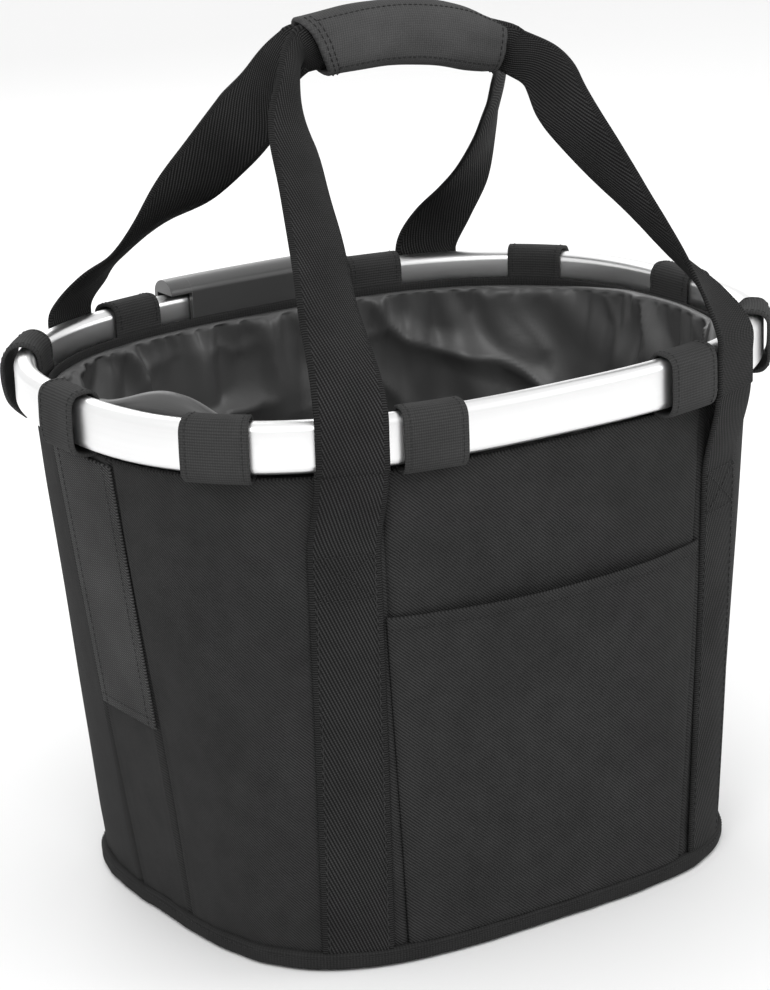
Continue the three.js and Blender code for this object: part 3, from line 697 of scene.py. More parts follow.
def make_walls():
    pi = np.pi
    cuts = {
        "front": (lambda o, z: pi + front_angle(o, z), lambda o, z: 2 * pi - front_angle(o, z), 90),
        "rear": (lambda o, z: front_angle(o, z), lambda o, z: pi - front_angle(o, z), 90),
        "rear_right": (end_angle, front_angle, 70),
        "rear_left": (lambda o, z: pi - front_angle(o, z), lambda o, z: pi - end_angle(o, z), 70),
        "front_left": (lambda o, z: pi + end_angle(o, z), lambda o, z: pi + front_angle(o, z), 70),
        "front_right": (lambda o, z: 2 * pi - front_angle(o, z), lambda o, z: 2 * pi - end_angle(o, z), 70),
        "right_end": (lambda o, z: -end_angle(o, z), end_angle, 34),
        "left_end": (lambda o, z: pi - end_angle(o, z), lambda o, z: pi + end_angle(o, z), 34),
    }
    for number, (name, (seam_a, seam_b, columns)) in enumerate(cuts.items()):
        wall_piece(name + "_cloth", seam_a, seam_b, columns, [name + "_panel"], 3.0 * number)


def facing(side, outline, x, z, offset):
    """A point on the front (side -1) or rear (side 1) wall, offset outwards."""
    y = outline.y_at(x)
    nx, ny = outline.normal(x, y)
    return np.stack([x + nx * offset, side * (y + ny * offset), z + 0 * x], axis=-1)


def make_pocket():
    columns, rows = 90, 60
    across = np.linspace(-0.5, 0.5, columns)
    grid = np.zeros((columns, rows, 3))
    plain = np.zeros((columns, rows, 3))
    uv = np.zeros((columns, rows, 2))
    for j, up in enumerate(np.linspace(0, 1, rows)):
        width = 2 * (76 * MM + 9 * MM * up)
        x = across * width
        z = SHELL_BOTTOM + (POCKET_TOP - SHELL_BOTTOM) * up + 0 * x
        sag = -1.2 * MM * up ** 8 * np.cos(np.pi * across)
        slack = 3.6 * MM * up ** 3 * np.cos(np.pi * across) ** 1.5
        edge = (0.5 - np.abs(across)) * width
        tuck = -1.0 * MM * np.exp(-edge / (1.5 * MM))
        hem = 0.7 * MM * smooth(up, 0.962, 0.972)
        spot = np.stack([x, 0 * x, z], axis=1)
        ripple = rolling(spot, 0.035, 9.0) * 0.5 * MM * (0.4 + up)
        offset = 1.5 * MM + slack + tuck + hem + ripple
        plain[:, j] = facing(-1, shell_outline(z[0]), x, z, 1.5 * MM)
        grid[:, j] = facing(-1, shell_outline(z[0]), x, z + sag, offset)
        uv[:, j] = np.stack([x, z], axis=1)
    pocket = slab("front_slip_pocket", grid, uv, 1.4 * MM, SHELL_CLOTH)
    on_bag(pocket, ["front_pocket"])
    hem_row = int(rows * 0.965)
    out = grid_normals(grid, False)[0][:, hem_row]
    line = grid[:, hem_row] + out * 0.75 * MM
    hem = stitches("pocket_hem_stitching", [(line, out)], THREAD)
    on_bag(hem)


def sewn_strap_grid(side_x, side_y, levels, across, offset):
    grid = np.zeros((len(across), len(levels), 3))
    normals = np.zeros_like(grid)
    for j, z in enumerate(levels):
        outline = strap_outline(z)
        centre = STRAP_X_LOW + (STRAP_X_HIGH - STRAP_X_LOW) * min(z / SHELL_TOP, 1)
        slope = outline.normal(centre, outline.y_at(centre))[1]
        x = side_x * centre + across * slope
        grid[:, j] = facing(side_y, outline, x, np.full(len(across), z), offset)
        nx, ny = outline.normal(x, outline.y_at(x))
        normals[:, j] = np.stack([nx, side_y * ny, 0 * nx], axis=1)
    return grid, normals


def make_sewn_straps():
    thread_rows = []
    half = WEBBING_WIDTH / 2
    for name, side_x, side_y in (("front_left", -1, -1), ("front_right", 1, -1),
                                 ("rear_left", -1, 1), ("rear_right", 1, 1)):
        levels = np.linspace(SHELL_BOTTOM - 1 * MM, STRAP_SPLIT, 110)
        across = np.linspace(-half, half, 11)
        grid, _ = sewn_strap_grid(side_x, side_y, levels, across, 1.4 * MM)
        uv = np.stack(np.broadcast_arrays(across[:, None], levels[None, :]), axis=2)
        if side_y > 0:
            grid, uv = grid[::-1], uv[::-1]
        piece = slab(name + "_sewn_webbing", grid, uv, WEBBING_THICKNESS, WEBBING)
        on_bag(piece, [name + "_strap"], top=STRAP_SPLIT)
        surface = 2.35 * MM
        for edge in (-half + 2.4 * MM, half - 2.4 * MM):
            line, out = sewn_strap_grid(side_x, side_y, np.linspace(SHELL_BOTTOM, BOX_STITCH[1], 60),
                                        np.array([edge]), surface)
            thread_rows.append((line[0], out[0]))
        inner = np.linspace(-half + 2.4 * MM, half - 2.4 * MM, 12)
        for level in BOX_STITCH:
            line, out = sewn_strap_grid(side_x, side_y, [level], inner, surface)
            thread_rows.append((line[:, 0], out[:, 0]))
        for lean in (1, -1):
            levels = np.linspace(*BOX_STITCH, 12)
            line, out = sewn_strap_grid(side_x, side_y, levels, inner[::lean], surface)
            pick = np.arange(12)
            thread_rows.append((line[pick, pick], out[pick, pick]))
    on_bag(stitches("strap_stitching", thread_rows, THREAD, thread=0.5 * MM), top=STRAP_SPLIT)


def make_end_strips():
    rows = []
    for name, side in (("left", -1), ("right", 1)):
        z = np.linspace(STRIP_LOW[2], STRIP_HIGH[2], 60)
        shares = np.linspace(-1, 1, 11)
        grid = np.zeros((11, 60, 3))
        for j, level in enumerate(z):
            outline = shell_outline(level)
            across = shares * (seam_y(level) - 0.6 * MM)
            grid[:, j, 0] = side * (outline.x_at(across) + 1.0 * MM)
            grid[:, j, 1] = side * across
            grid[:, j, 2] = level
        uv = np.stack(np.broadcast_arrays(shares[:, None] * 12 * MM, z[None, :]), axis=2)
        strip = slab(name + "_end_webbing", grid, uv, 1.5 * MM, END_TAPE)
        on_bag(strip, [name + "_end_strip"])
        for k in (1, 9):
            line = grid[k] + np.array([side, 0, 0]) * 0.8 * MM
            rows.append((line, np.tile([side, 0.0, 0.0], (60, 1))))
        line = grid[:, 2] + np.array([side, 0, 0]) * 0.8 * MM
        rows.append((line, np.tile([side, 0.0, 0.0], (11, 1))))
    on_bag(stitches("end_strip_stitching", rows, THREAD))


# ------------------------------------------------------------------ lining
def lining_puff(angle):
    """How far the lining swells above its seam, most at the front corners and the left end."""
    def bump(centre, width, height):
        gap = np.angle(np.exp(1j * (angle - centre)))
        return height * np.exp(-(gap / width) ** 2)
    front_left, front_right = np.radians(200), np.radians(322)
    return (bump(front_left, 0.3, 20 * MM) + bump(front_right, 0.2, 15 * MM)
            + bump(np.radians(180), 0.3, 4 * MM) + bump(0, 0.35, 4 * MM) + 2 * MM)


def lining_rest_shape(columns, rows):
    """The lining before it settles: a roll above its seam, then a bag down to the floor."""
    angles, perimeter = LINING_HEAD.even_angles(columns)
    grid = np.zeros((columns, rows, 3))
    puff = lining_puff(angles)
    for j, t in enumerate(np.linspace(0, 1, rows)):
        if t < ROLL_SHARE:
            s = t / ROLL_SHARE
            z = LINING_SEAM + puff * np.sin(np.pi * 0.5 * min(s * 2, 1)) - puff * 0.55 * smooth(s, 0.5, 1.0)
            inward = 0.5 * MM + (1.5 * MM + puff * 0.55) * smooth(s, 0.25, 1.0)
        else:
            s = (t - ROLL_SHARE) / (1 - ROLL_SHARE)
            top = LINING_SEAM + puff * 0.45
            z = top + (LINING_FLOOR - top) * s
            inward = 2 * MM + puff * 0.55 * (1 - smooth(s, 0.0, 0.4)) + 6 * MM * np.sin(np.pi * s)
        for i in range(columns):
            outline = LINING_FOOT.towards(LINING_HEAD, min(z[i] / SHELL_TOP, 1.0))
            x, y = outline.inset(inward[i] + 0.6 * MM).point(angles[i])
            grid[i, j] = (x, y, z[i])
    pattern = pattern_size(grid)
    loose = smooth(np.linspace(0, 1, rows), 0.04, 0.2)[None, :, None]
    leaning = grid @ np.array([[1, 0, 0], [0, 1, 0], [0.45, 0.3, 0.45]])
    start = (rolling(leaning, 0.042, 5.0) + 0.45)[..., None] * 9 * MM * loose
    inward = grid * (-1, -1, 0)
    grid += start * inward / np.linalg.norm(inward, axis=2, keepdims=True)
    grid[-1] = grid[0]
    return grid, perimeter, pattern


def settle(grid, held_rows, growth, frames):
    """Let a tube of cloth, cut larger than its place by growth, crease and hang between held rows."""
    ring = grid[:-1]
    columns, rows = ring.shape[:2]
    index = np.arange(columns * rows).reshape(columns, rows)
    following = np.roll(index, -1, axis=0)
    faces = [(int(index[i, j]), int(following[i, j]), int(following[i, j + 1]), int(index[i, j + 1]))
             for i in range(columns) for j in range(rows - 1)]
    mesh = bpy.data.meshes.new("settling_cloth")
    mesh.from_pydata([tuple(p) for p in ring.reshape(-1, 3)], [], faces)
    cloth = bpy.data.objects.new("settling_cloth", mesh)
    bpy.context.scene.collection.objects.link(cloth)
    held = cloth.vertex_groups.new(name="held")
    held.add([int(k) for k in index[:, held_rows].ravel()], 1.0, "REPLACE")
    modifier = cloth.modifiers.new("fall", "CLOTH")
    settings = modifier.settings
    settings.vertex_group_mass = "held"
    settings.quality = 5
    settings.mass = 0.12
    settings.tension_stiffness = settings.compression_stiffness = 12
    settings.shear_stiffness = 4
    settings.bending_stiffness = 20.0
    settings.air_damping = 2
    settings.shrink_min = -growth
    modifier.point_cache.frame_start = 1
    modifier.point_cache.frame_end = frames
    scene = bpy.context.scene
    scene.frame_start, scene.frame_end = 1, frames
    for number in range(1, frames + 1):
        scene.frame_set(number)
    shown = cloth.evaluated_get(bpy.context.evaluated_depsgraph_get())
    points = np.array([v.co for v in shown.data.vertices]).reshape(columns, rows, 3)
    bpy.data.objects.remove(cloth)
    scene.frame_set(1)
    return np.concatenate([points, points[:1]])


def kept_inside(grid):
    """Cloth that came through the wall goes back against it, and none goes far towards the middle."""
    level = np.clip(grid[..., 2] / SHELL_TOP, 0, 1)
    half_x = LINING_FOOT.half_x + (LINING_HEAD.half_x - LINING_FOOT.half_x) * level - 1.0 * MM
    half_y = LINING_FOOT.half_y + (LINING_HEAD.half_y - LINING_FOOT.half_y) * level - 1.0 * MM
    power = LINING_FOOT.power + (LINING_HEAD.power - LINING_FOOT.power) * level
    reach = (np.abs(grid[..., 0] / half_x) ** power + np.abs(grid[..., 1] / half_y) ** power) ** (1 / power)
    scale = np.clip(reach, 0.7, 1) / reach
    grid[..., :2] *= scale[..., None]
    grid[..., 2] = np.clip(grid[..., 2], LINING_FLOOR, RIM_HIGH[2] + 9 * MM)
    return grid


def refined(grid, closed):
    """Twice as many points in each direction, on smooth curves through the given ones."""
    for axis in (0, 1):
        rows = np.moveaxis(grid, axis, 0)
        if closed and axis == 0:
            before, after = rows[-2:-1], rows[1:2]
        else:
            before, after = 2 * rows[:1] - rows[1:2], 2 * rows[-1:] - rows[-2:-1]
        wide = np.concatenate([before, rows, after])
        middle = (9 * (wide[1:-2] + wide[2:-1]) - wide[:-3] - wide[3:]) / 16
        finer = np.zeros((2 * len(rows) - 1,) + rows.shape[1:])
        finer[::2], finer[1::2] = rows, middle
        grid = np.moveaxis(finer, 0, axis)
    return grid


def creased(grid):
    """Sharp short creases where the thin cloth has been folded and crushed before."""
    share = np.linspace(0, 1, grid.shape[1])[None, :]
    leaning = grid @ np.array([[1, 0.3, 0], [-0.3, 1, 0], [0.6, -0.5, 0.7]])
    ridge = (1 - np.abs(rolling(leaning, 0.062, 11.0)) * 3.6).clip(0, 1) ** 1.6
    short = (1 - np.abs(rolling(leaning[..., ::-1], 0.036, 17.0)) * 4.2).clip(0, 1) ** 1.6
    where = smooth(rolling(grid, 0.07, 23.0), -0.25, 0.3)
    depth = (ridge * 5.5 + short * 1.5 * where) * MM * smooth(share, 0.02, 0.12)
    inward = grid * (-1, -1, 0)
    moved = grid + depth[..., None] * inward / np.linalg.norm(inward, axis=2, keepdims=True)
    moved[-1] = moved[0]
    return moved


def make_lining():
    columns, rows = 241, 76
    grid, perimeter, pattern = lining_rest_shape(columns, rows)
    held_rows = [0, 1, 2, 3, 4, 5, rows - 2, rows - 1]
    grid = kept_inside(settle(grid, held_rows, growth=LINING_FULLNESS, frames=34))
    grid = creased(refined(grid, closed=True))
    uv = np.zeros(grid.shape[:2] + (2,))
    uv[..., 0] = np.linspace(0, perimeter, grid.shape[0])[:, None]
    uv[..., 1] = np.linspace(LINING_SEAM, LINING_FLOOR, grid.shape[1])[None, :]
    inside = slab("lining_cloth", grid[:, ::-1], uv[:, ::-1], 0.9 * MM, LINING_CLOTH, closed=True)
    flat = tuple(side * (1 + LINING_FULLNESS) for side in pattern)
    on_bag(inside, ["lining"], top=LINING_SEAM)

    floor = LINING_FOOT.inset(3 * MM)
    turns = np.linspace(0, 2 * np.pi, 121)
    shares = np.linspace(0.02, 1, 40)
    x, y = floor.point(turns)
    plan = np.stack([np.outer(x, shares), np.outer(y, shares), np.zeros((121, 40))], axis=2)
    waves = rolling(plan, 0.03, 21.0) * 0.8 * MM * (1 - shares[None, :] ** 6)
    plan[:, :, 2] = LINING_FLOOR + 0.9 * MM + waves
    plan[-1] = plan[0]
    base = slab("lining_floor", plan[:, ::-1], plan[:, ::-1, :2].copy(), 0.9 * MM, LINING_CLOTH,
                closed=True)
    on_body(base, "bag")
    area = 0.5 * float(np.abs(np.sum(x[:-1] * y[1:] - x[1:] * y[:-1])))
    2 * floor.half_x
    2 * floor.half_y

    ring = LINING_HEAD
    edge_angles, _ = ring.even_angles(241)
    levels = np.linspace(239 * MM, 246.5 * MM, 7)
    tape = np.zeros((241, 7, 3))
    tape_uv = np.zeros((241, 7, 2))
    for j, level in enumerate(levels):
        bulge = 0.5 * MM * math.sin(math.pi * j / 6)
        x, y = ring.inset(-0.2 * MM + bulge).point(edge_angles)
        tape[:, j] = np.stack([x, y, np.full(241, level)], axis=1)
        tape_uv[:, j, 0] = level
        tape_uv[:, j, 1] = np.linspace(0, perimeter, 241)
    tape[-1] = tape[0]
    edge = slab("mouth_edge_tape", tape, tape_uv, 1.2 * MM, EDGE_TAPE, closed=True)
    on_body(edge, "rim")


# ------------------------------------------------------------------ rim
def rounded_section(half_w, half_h, radius, count):
    points = []
    for k in range(count):
        turn = 2 * math.pi * (k + 0.5) / count
        c, s = math.cos(turn), math.sin(turn)
        points.append((math.copysign(half_w - radius, c) + radius * c,
                       math.copysign(half_h - radius, s) + radius * s))
    return np.array(points)


def make_rim():
    angles, _ = RIM_CENTRE.even_angles(361)
    section = rounded_section(TUBE_THICKNESS / 2, TUBE_HEIGHT / 2, TUBE_CORNER, 40)
    x, y = RIM_CENTRE.point(angles)
    nx, ny = RIM_CENTRE.normal(x, y)
    rings = np.zeros((361, 40, 3))
    rings[:, :, 0] = x[:, None] + nx[:, None] * section[None, :, 0]
    rings[:, :, 1] = y[:, None] + ny[:, None] * section[None, :, 0]
    rings[:, :, 2] = RIM_MIDDLE + section[None, :, 1]
    rings[-1] = rings[0]
    tube = sweep("rim_oval_tube", rings[:, ::-1], ALUMINIUM, closed=True)
    on_body(tube, "rim", ["rim_tube"])


LOOP_PATH = [(-6.4, -15.5), (-6.6, -8), (-6.5, 2), (-5.9, 9.2), (-3.2, 12.8), (1.2, 13.3), (5.2, 12.3),
             (7.6, 8.8), (8.0, 2), (8.0, -5), (7.4, -10.5), (4.8, -14.0), (0.5, -14.9), (-3.8, -14.4)]
LOOSE_PATH = [(-6.4, -15.5), (-6.6, -8), (-6.5, 2), (-5.8, 9.6), (-2.6, 13.4), (2.5, 14.6), (7.5, 12.2),
              (10.2, 6.5), (10.6, 0), (9.8, -6.5), (8.2, -11.5), (5.0, -15.6), (1.0, -19.2)]
LOOPS = {
    "right_end_loop": (1, 0, None), "left_end_loop": (-1, 0, None),
    "front_right_loop": (1, -1, 70.5), "front_left_loop": (-1, -1, 66.5),
    "rear_right_loop": (1, 1, 70.5), "rear_left_loop": (-1, 1, 70.5),
    "front_right_corner_loop": (1, -1, 150), "front_left_corner_loop": (-1, -1, 150),
    "rear_right_corner_loop": (1, 1, 150), "rear_left_corner_loop": (-1, 1, 150),
}


def arc_table():
    fine = np.linspace(-np.pi, np.pi, 16001)
    x, y = RIM_CENTRE.point(fine)
    run = np.concatenate([[0], np.cumsum(np.hypot(np.diff(x), np.diff(y)))])
    return fine, run


def make_loops():
    fine, run = arc_table()
    total = run[-1]
    half = 14 * MM
    rows = []
    for number, (name, (side_x, side_y, place)) in enumerate(LOOPS.items()):
        if place is None:
            angle = 0.0 if side_x > 0 else np.pi
        elif place == 150:
            angle = np.arccos((place * MM / RIM.half_x) ** (RIM.power / 2))
        else:
            angle = np.arccos((place * MM / RIM_CENTRE.half_x) ** (RIM.power / 2))
        if place is not None:
            angle = angle if side_x > 0 else np.pi - angle
            angle = angle if side_y > 0 else -angle
        centre = np.interp(angle, fine, run)
        path = LOOSE_PATH if name == "rear_left_corner_loop" else LOOP_PATH
        profile, length = spline(np.array(path) * MM, 72)
        across = np.linspace(-half, half, 13)
        spots = np.interp((centre + across) % total, run, fine)
        x, y = RIM_CENTRE.point(spots)
        nx, ny = RIM_CENTRE.normal(x, y)
        lean = 0.6 * MM * noise.noise(Vector((number * 1.7, 0.3, 0.9)))
        grid = np.zeros((13, 72, 3))
        for j, (out, up) in enumerate(profile):
            slack = lean * smooth(out, 2 * MM, 8 * MM) * (across / half)
            cup = 0.35 * MM * (across / half) ** 2 * smooth(out, 0, 6 * MM)
            grid[:, j, 0] = x + nx * (out + slack + cup)
            grid[:, j, 1] = y + ny * (out + slack + cup)
            grid[:, j, 2] = RIM_MIDDLE + up
        uv = np.stack(np.broadcast_arrays(across[:, None], np.linspace(0, length, 72)[None, :]), axis=2)
        loop = slab(name + "_tape", grid[::-1], uv[::-1], 1.5 * MM, LOOP_TAPE, round_edge=0.3)
        on_body(loop, "rim", [name])
        out_dir = -grid_normals(grid, False)[0]
        for k in (1, 11):
            rows.append((grid[k, 16:62] + out_dir[k, 16:62] * 0.86 * MM, out_dir[k, 16:62]))
    sewing = stitches("loop_stitching", rows, THREAD, pitch=2.6 * MM, thread=0.34 * MM)
    on_body(sewing, "rim")


# ------------------------------------------------------------------ bracket
def make_cover():
    cavity, inner, outer = 5.8 * MM, 8.4 * MM, 8.6 * MM
    roof, crown = 12.3 * MM, COVER_HIGH[2] - RIM_MIDDLE
    skirt = COVER_LOW[2] - RIM_MIDDLE
    centre, reach = (outer - inner) / 2, (outer + inner) / 2
    arch = [(centre + reach * math.cos(t), roof + (crown - roof) * math.sin(t))
            for t in np.linspace(0, math.pi, 40)]
    wall_end = 37 * MM
    half = COVER_HIGH[0]
    stations = sorted(set(np.round(np.linspace(-half, half, 50), 6)) | {-wall_end, wall_end})
    plan = []
    for x in stations:
        long_wall, short_wall = -7.5 * MM, roof
        if abs(abs(x) - wall_end) < 1e-9:
            order = [short_wall, long_wall] if x < 0 else [long_wall, short_wall]
            plan += [(x, drop) for drop in order]
        else:
            plan.append((x, long_wall if abs(x) < wall_end else short_wall))
    rings = []
    for x, drop in plan:
        sag = RIM_CENTRE.y_at(x) - RIM_CENTRE.half_y
        section = [(cavity, skirt), (outer, skirt)] + arch + [(-inner, drop), (-cavity, drop),
                                                            (-cavity, roof), (cavity, roof)]
        rings.append([(x, RIM_CENTRE.half_y + sag + out, RIM_MIDDLE + up) for out, up in section])
    cover = sweep("half_pipe_cover", np.array(rings)[:, ::-1], PLASTIC, closed=False)
    soften(cover, 0.7 * MM)
    on_body(cover, "rim", ["bracket_cover"])


def make_button_spring():
    """The coil under the release button."""
    low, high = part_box("button_spring")
    wire = 0.55 * MM
    centre = ((low[0] + high[0]) / 2, (low[1] + high[1]) / 2)
    radius = (high[0] - low[0]) / 2 - wire
    bottom, top = low[2] + wire, high[2] - wire
    press = next(j for j in frame["joints"] if j["name"] == "release_button_press")
    travel = max(abs(v) for v in press["range_m"])
    turns, steps, sides = 5.5, 200, 10
    rings = []
    for share in np.linspace(0, 1, steps):
        angle = 2 * math.pi * turns * share
        outward = np.array([math.cos(angle), math.sin(angle), 0])
        middle = np.array([*centre, bottom + (top - bottom) * smooth(share, -0.1, 1.1)]) + outward * radius
        rings.append([middle + (outward * math.cos(q) + np.array([0, 0, 1]) * math.sin(q)) * wire
                      for q in np.linspace(0, 2 * math.pi, sides, endpoint=False)])
    coil = sweep("button_coil_spring", np.array(rings)[:, ::-1], STEEL, closed=False)
    on_body(coil, "rim", ["button_spring"])
    1 - (travel + 0.2 * MM) / (high[2] - low[2])
    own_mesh(coil)


def soften(piece, width):
    bevel = piece.modifiers.new("soft_edges", "BEVEL")
    bevel.width = width
    bevel.segments = 3
    bevel.limit_method = "ANGLE"
    bevel.angle_limit = math.radians(38)
    bevel.harden_normals = True


def dress_frame_nodes():
    """Hard pieces that keep their own shape get their finish and softened edges."""
    finishes = {
        "bracket_back_plate": (PLASTIC, 0.5), "bracket_inner_plate": (PLASTIC, 0.4),
        "release_button": (PLASTIC, 0.8), "latch": (PLASTIC, 0.4),
        "bracket_screw_upper_left": (STEEL, 0.3), "bracket_screw_upper_right": (STEEL, 0.3),
        "bracket_screw_lower_left": (STEEL, 0.3), "bracket_screw_lower_right": (STEEL, 0.3),
        "rim_joint_sleeve": (ALUMINIUM, 0.3), "base_board": (BOARD, 0.5),
    }
    for name, (material, edge) in finishes.items():
        node = frame["nodes"][name]
        for spot in node.material_slots:
            spot.material = material
        soften(node, edge * MM)


# ------------------------------------------------------------------ handles
def grip_height(x):
    t = (x - GRIP_LEFT) / (GRIP_RIGHT - GRIP_LEFT)
    arch = 3 * np.sin(np.pi * np.minimum(t * 1.1, 1)) - 11 * np.abs(t) ** 3
    return (394 + arch) * MM


# Each stop along a handle: x, y and z in mm, how the webbing lies there, and how far it cups in mm.
# It lies across a given direction, or shows the viewer a share of its width; below zero, the other way up.
FRONT_LEFT_FOOT, FRONT_RIGHT_FOOT = (-0.93, 0.37, 0), (-0.93, -0.37, 0)
REAR_LEFT_FOOT, REAR_RIGHT_FOOT = (-0.93, -0.37, 0), (0.93, -0.37, 0)
FRONT_HELD, REAR_HELD = (0, -0.2, 1), (0, 0.2, 1)
FRONT_WAY = [
    (-103.5, -123.3, 236, FRONT_LEFT_FOOT, 0),
    (-103.5, -123.4, 250, FRONT_LEFT_FOOT, 0),
    (-103.3, -122.8, 263, FRONT_LEFT_FOOT, 0),
    (-100, -114, 279, -0.92, 1),
    (-93, -94, 301, -0.8, 2),
    (-82, -68, 328, -0.72, 2.5),
    (-70, -36, 361, -0.6, 3),
    (-58, -16, 383, -0.3, 5),
    (-48, -4.6, 392, (-0.2, -0.35, 0.92), 5),
    (-38, -3.2, 394.5, FRONT_HELD, 3),
    (12, -3.2, 396.5, FRONT_HELD, 2),
    (60, -3.2, 384, (0.2, -0.2, 1), 3),
    (69, -5, 379.5, (0.35, -0.45, 0.82), 3),
    (74, -20, 373, -0.96, 2),
    (71, -42, 356, -0.8, 3),
    (77, -66, 330, -0.55, 5),
    (87, -92, 302, -0.2, 5.5),
    (98, -113, 279, 0.3, 2),
    (103.3, -122.8, 263, FRONT_RIGHT_FOOT, 0),
    (103.5, -123.4, 250, FRONT_RIGHT_FOOT, 0),
    (103.5, -123.3, 236, FRONT_RIGHT_FOOT, 0),
]
REAR_WAY = [
    (-103.5, 123.3, 236, REAR_LEFT_FOOT, 0),
    (-103.5, 123.4, 250, REAR_LEFT_FOOT, 0),
    (-103.3, 122.8, 263, REAR_LEFT_FOOT, 0),
    (-96, 113, 277, -0.3, 1),
    (-82, 101, 293, -0.06, 2),
    (-62, 70, 326, (-0.8, 0.05, 0.5), 2),
    (-52, 38, 358, (-0.6, 0.5, 0.62), 2),
    (-50, 18, 380, (-0.45, 0.5, 0.75), 2),
    (-46, 5, 392, (-0.2, 0.5, 0.84), 3),
    (-36, 3.4, 394.5, REAR_HELD, 3),
    (12, 3.4, 396.5, REAR_HELD, 2),
    (58, 3.4, 385, (0.2, 0.3, 0.93), 3),
    (68, 5, 380, (0.3, 0.3, 0.9), 3),
    (80, 20, 371, (0.6, 0.4, 0.65), 3),
    (95, 44, 353, (0.64, 0.46, 0.63), 4),
    (105, 72, 323, (0.75, 0.2, 0.5), 3),
    (109, 96, 297, (0.97, -0.05, 0.15), 1),
    (107, 113, 279, (0.94, -0.25, -0.1), 0),
    (103.3, 122.8, 263, REAR_RIGHT_FOOT, 0),
    (103.5, 123.4, 250, REAR_RIGHT_FOOT, 0),
    (103.5, 123.3, 236, REAR_RIGHT_FOOT, 0),
]


def view_directions():
    azimuth, elevation = math.radians(-33.05), math.radians(17.02)
    back = Vector((math.sin(azimuth) * math.cos(elevation),
                   -math.cos(azimuth) * math.cos(elevation), math.sin(elevation)))
    right = Vector((math.cos(azimuth), math.sin(azimuth), 0))
    return back, right, back.cross(right)


def view_place():
    back, right, up = view_directions()
    return back * 1.5507 - right * 6.6 * MM + up * 169.6 * MM


def lie_of_webbing(way):
    """Rows of place in mm, the direction across the webbing, and cup in mm."""
    places = np.array([stop[:3] for stop in way], float)
    tangents = unit(np.gradient(places, axis=0))
    viewer = np.array(view_place()) / MM
    rows = []
    for place, tangent, (*_, lie, cup) in zip(places, tangents, way):
        if not isinstance(lie, tuple):
            sight = unit(viewer - place)
            edge_on = unit(sight - tangent * sight.dot(tangent))
            face_on = np.cross(tangent, edge_on)
            lie = face_on * lie + edge_on * math.sqrt(1 - lie ** 2)
        rows.append((*place, *lie, cup))
    return rows


def ribbon(name, way, material):
    steps, columns = 320, 13
    stops, _ = spline(lie_of_webbing(way), steps)
    path = stops[:, :3] * MM
    length = np.linalg.norm(np.diff(path, axis=0), axis=1).sum()
    kernel = np.hanning(17) / np.hanning(17).sum()
    padded = np.pad(stops[:, 3:7], ((8, 8), (0, 0)), mode="edge")
    eased = np.stack([np.convolve(padded[:, k], kernel, "valid") for k in range(4)], axis=1)
    side, cup = eased[:, :3], eased[:, 3] * MM
    tangent = np.gradient(path, axis=0)
    tangent /= np.linalg.norm(tangent, axis=1, keepdims=True)
    side = side - tangent * (side * tangent).sum(axis=1, keepdims=True)
    side /= np.linalg.norm(side, axis=1, keepdims=True)
    normal = np.cross(side, tangent)
    share = np.linspace(0, 1, steps)
    across = np.linspace(-0.5, 0.5, columns)
    held_in_grip = smooth(np.minimum(share, 1 - share), 0.31, 0.365)
    width = WEBBING_WIDTH * (1 - 0.3 * held_in_grip)
    bow = (4 * across ** 2 - 0.33)[None, :] * cup[:, None]
    waves = rolling(path, 0.03, 3.0)[:, None] * across[None, :] * 1.6 * MM
    free = smooth(np.minimum(share, 1 - share), 0.06, 0.14)[:, None]
    grid = (path[:, None] + side[:, None] * (across[None, :, None] * width[:, None, None])
            + normal[:, None] * (bow + waves * free)[..., None])
    uv = np.zeros((steps, columns, 2))
    uv[:, :, 0] = -across * WEBBING_WIDTH
    uv[:, :, 1] = (STRAP_SPLIT + share * length)[:, None]
    return slab(name, grid, uv, WEBBING_THICKNESS, material)


def make_handles():
    for name, way, side in (("front", FRONT_WAY, -1), ("rear", REAR_WAY, 1)):
        piece = ribbon(name + "_handle_webbing", way, WEBBING)
        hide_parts(name + "_handle")
        pivot_y = side * 129.7 * MM
        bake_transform(piece)


def sleeve_grid(start, end, count, half_depth, half_height, steps):
    """Part of a flattened roll along the grip, from one angle of its section to another."""
    turns = np.linspace(start, end, count)
    grid = np.zeros((count, steps, 3))
    uv = np.zeros((count, steps, 2))
    girth = 0.0
    previous = None
    for i, turn in enumerate(turns):
        c, s = math.cos(turn), math.sin(turn)
        y = half_depth * np.sign(c) * abs(c) ** 0.8
        up = half_height * np.sign(s) * abs(s) ** 0.8
        if previous:
            girth += math.hypot(y - previous[0], up - previous[1])
        previous = (y, up)
        x = np.linspace(sleeve_left(turn), sleeve_right(turn), steps)
        t = (x - GRIP_LEFT) / (GRIP_RIGHT - GRIP_LEFT)
        swell = 1 + 0.06 * np.sin(np.pi * np.clip(t, 0, 1)) - 0.22 * smooth(t, 0.78, 1.08)
        spot = np.stack([x, np.full(steps, y * 3), np.full(steps, up * 3)], axis=1)
        ripple = 0.7 * MM * rolling(spot, 0.022, 31.0)
        grid[i, :, 0] = x
        grid[i, :, 1] = y * swell + ripple * c
        arch = grip_height(np.clip(x, GRIP_LEFT - 8 * MM, GRIP_RIGHT + 4 * MM))
        grid[i, :, 2] = arch + up * swell + ripple * s
        uv[i, :, 0] = girth
        uv[i, :, 1] = x
    return grid, uv


def sleeve_left(turn):
    """The left hem slants: the bottom of the sleeve stops 14 mm short of the top."""
    return GRIP_LEFT + (-4 + 14 * (1 - math.sin(turn)) / 2) * MM


def sleeve_right(turn):
    return GRIP_RIGHT + (3 - 6 * (1 - math.sin(turn)) / 2) * MM


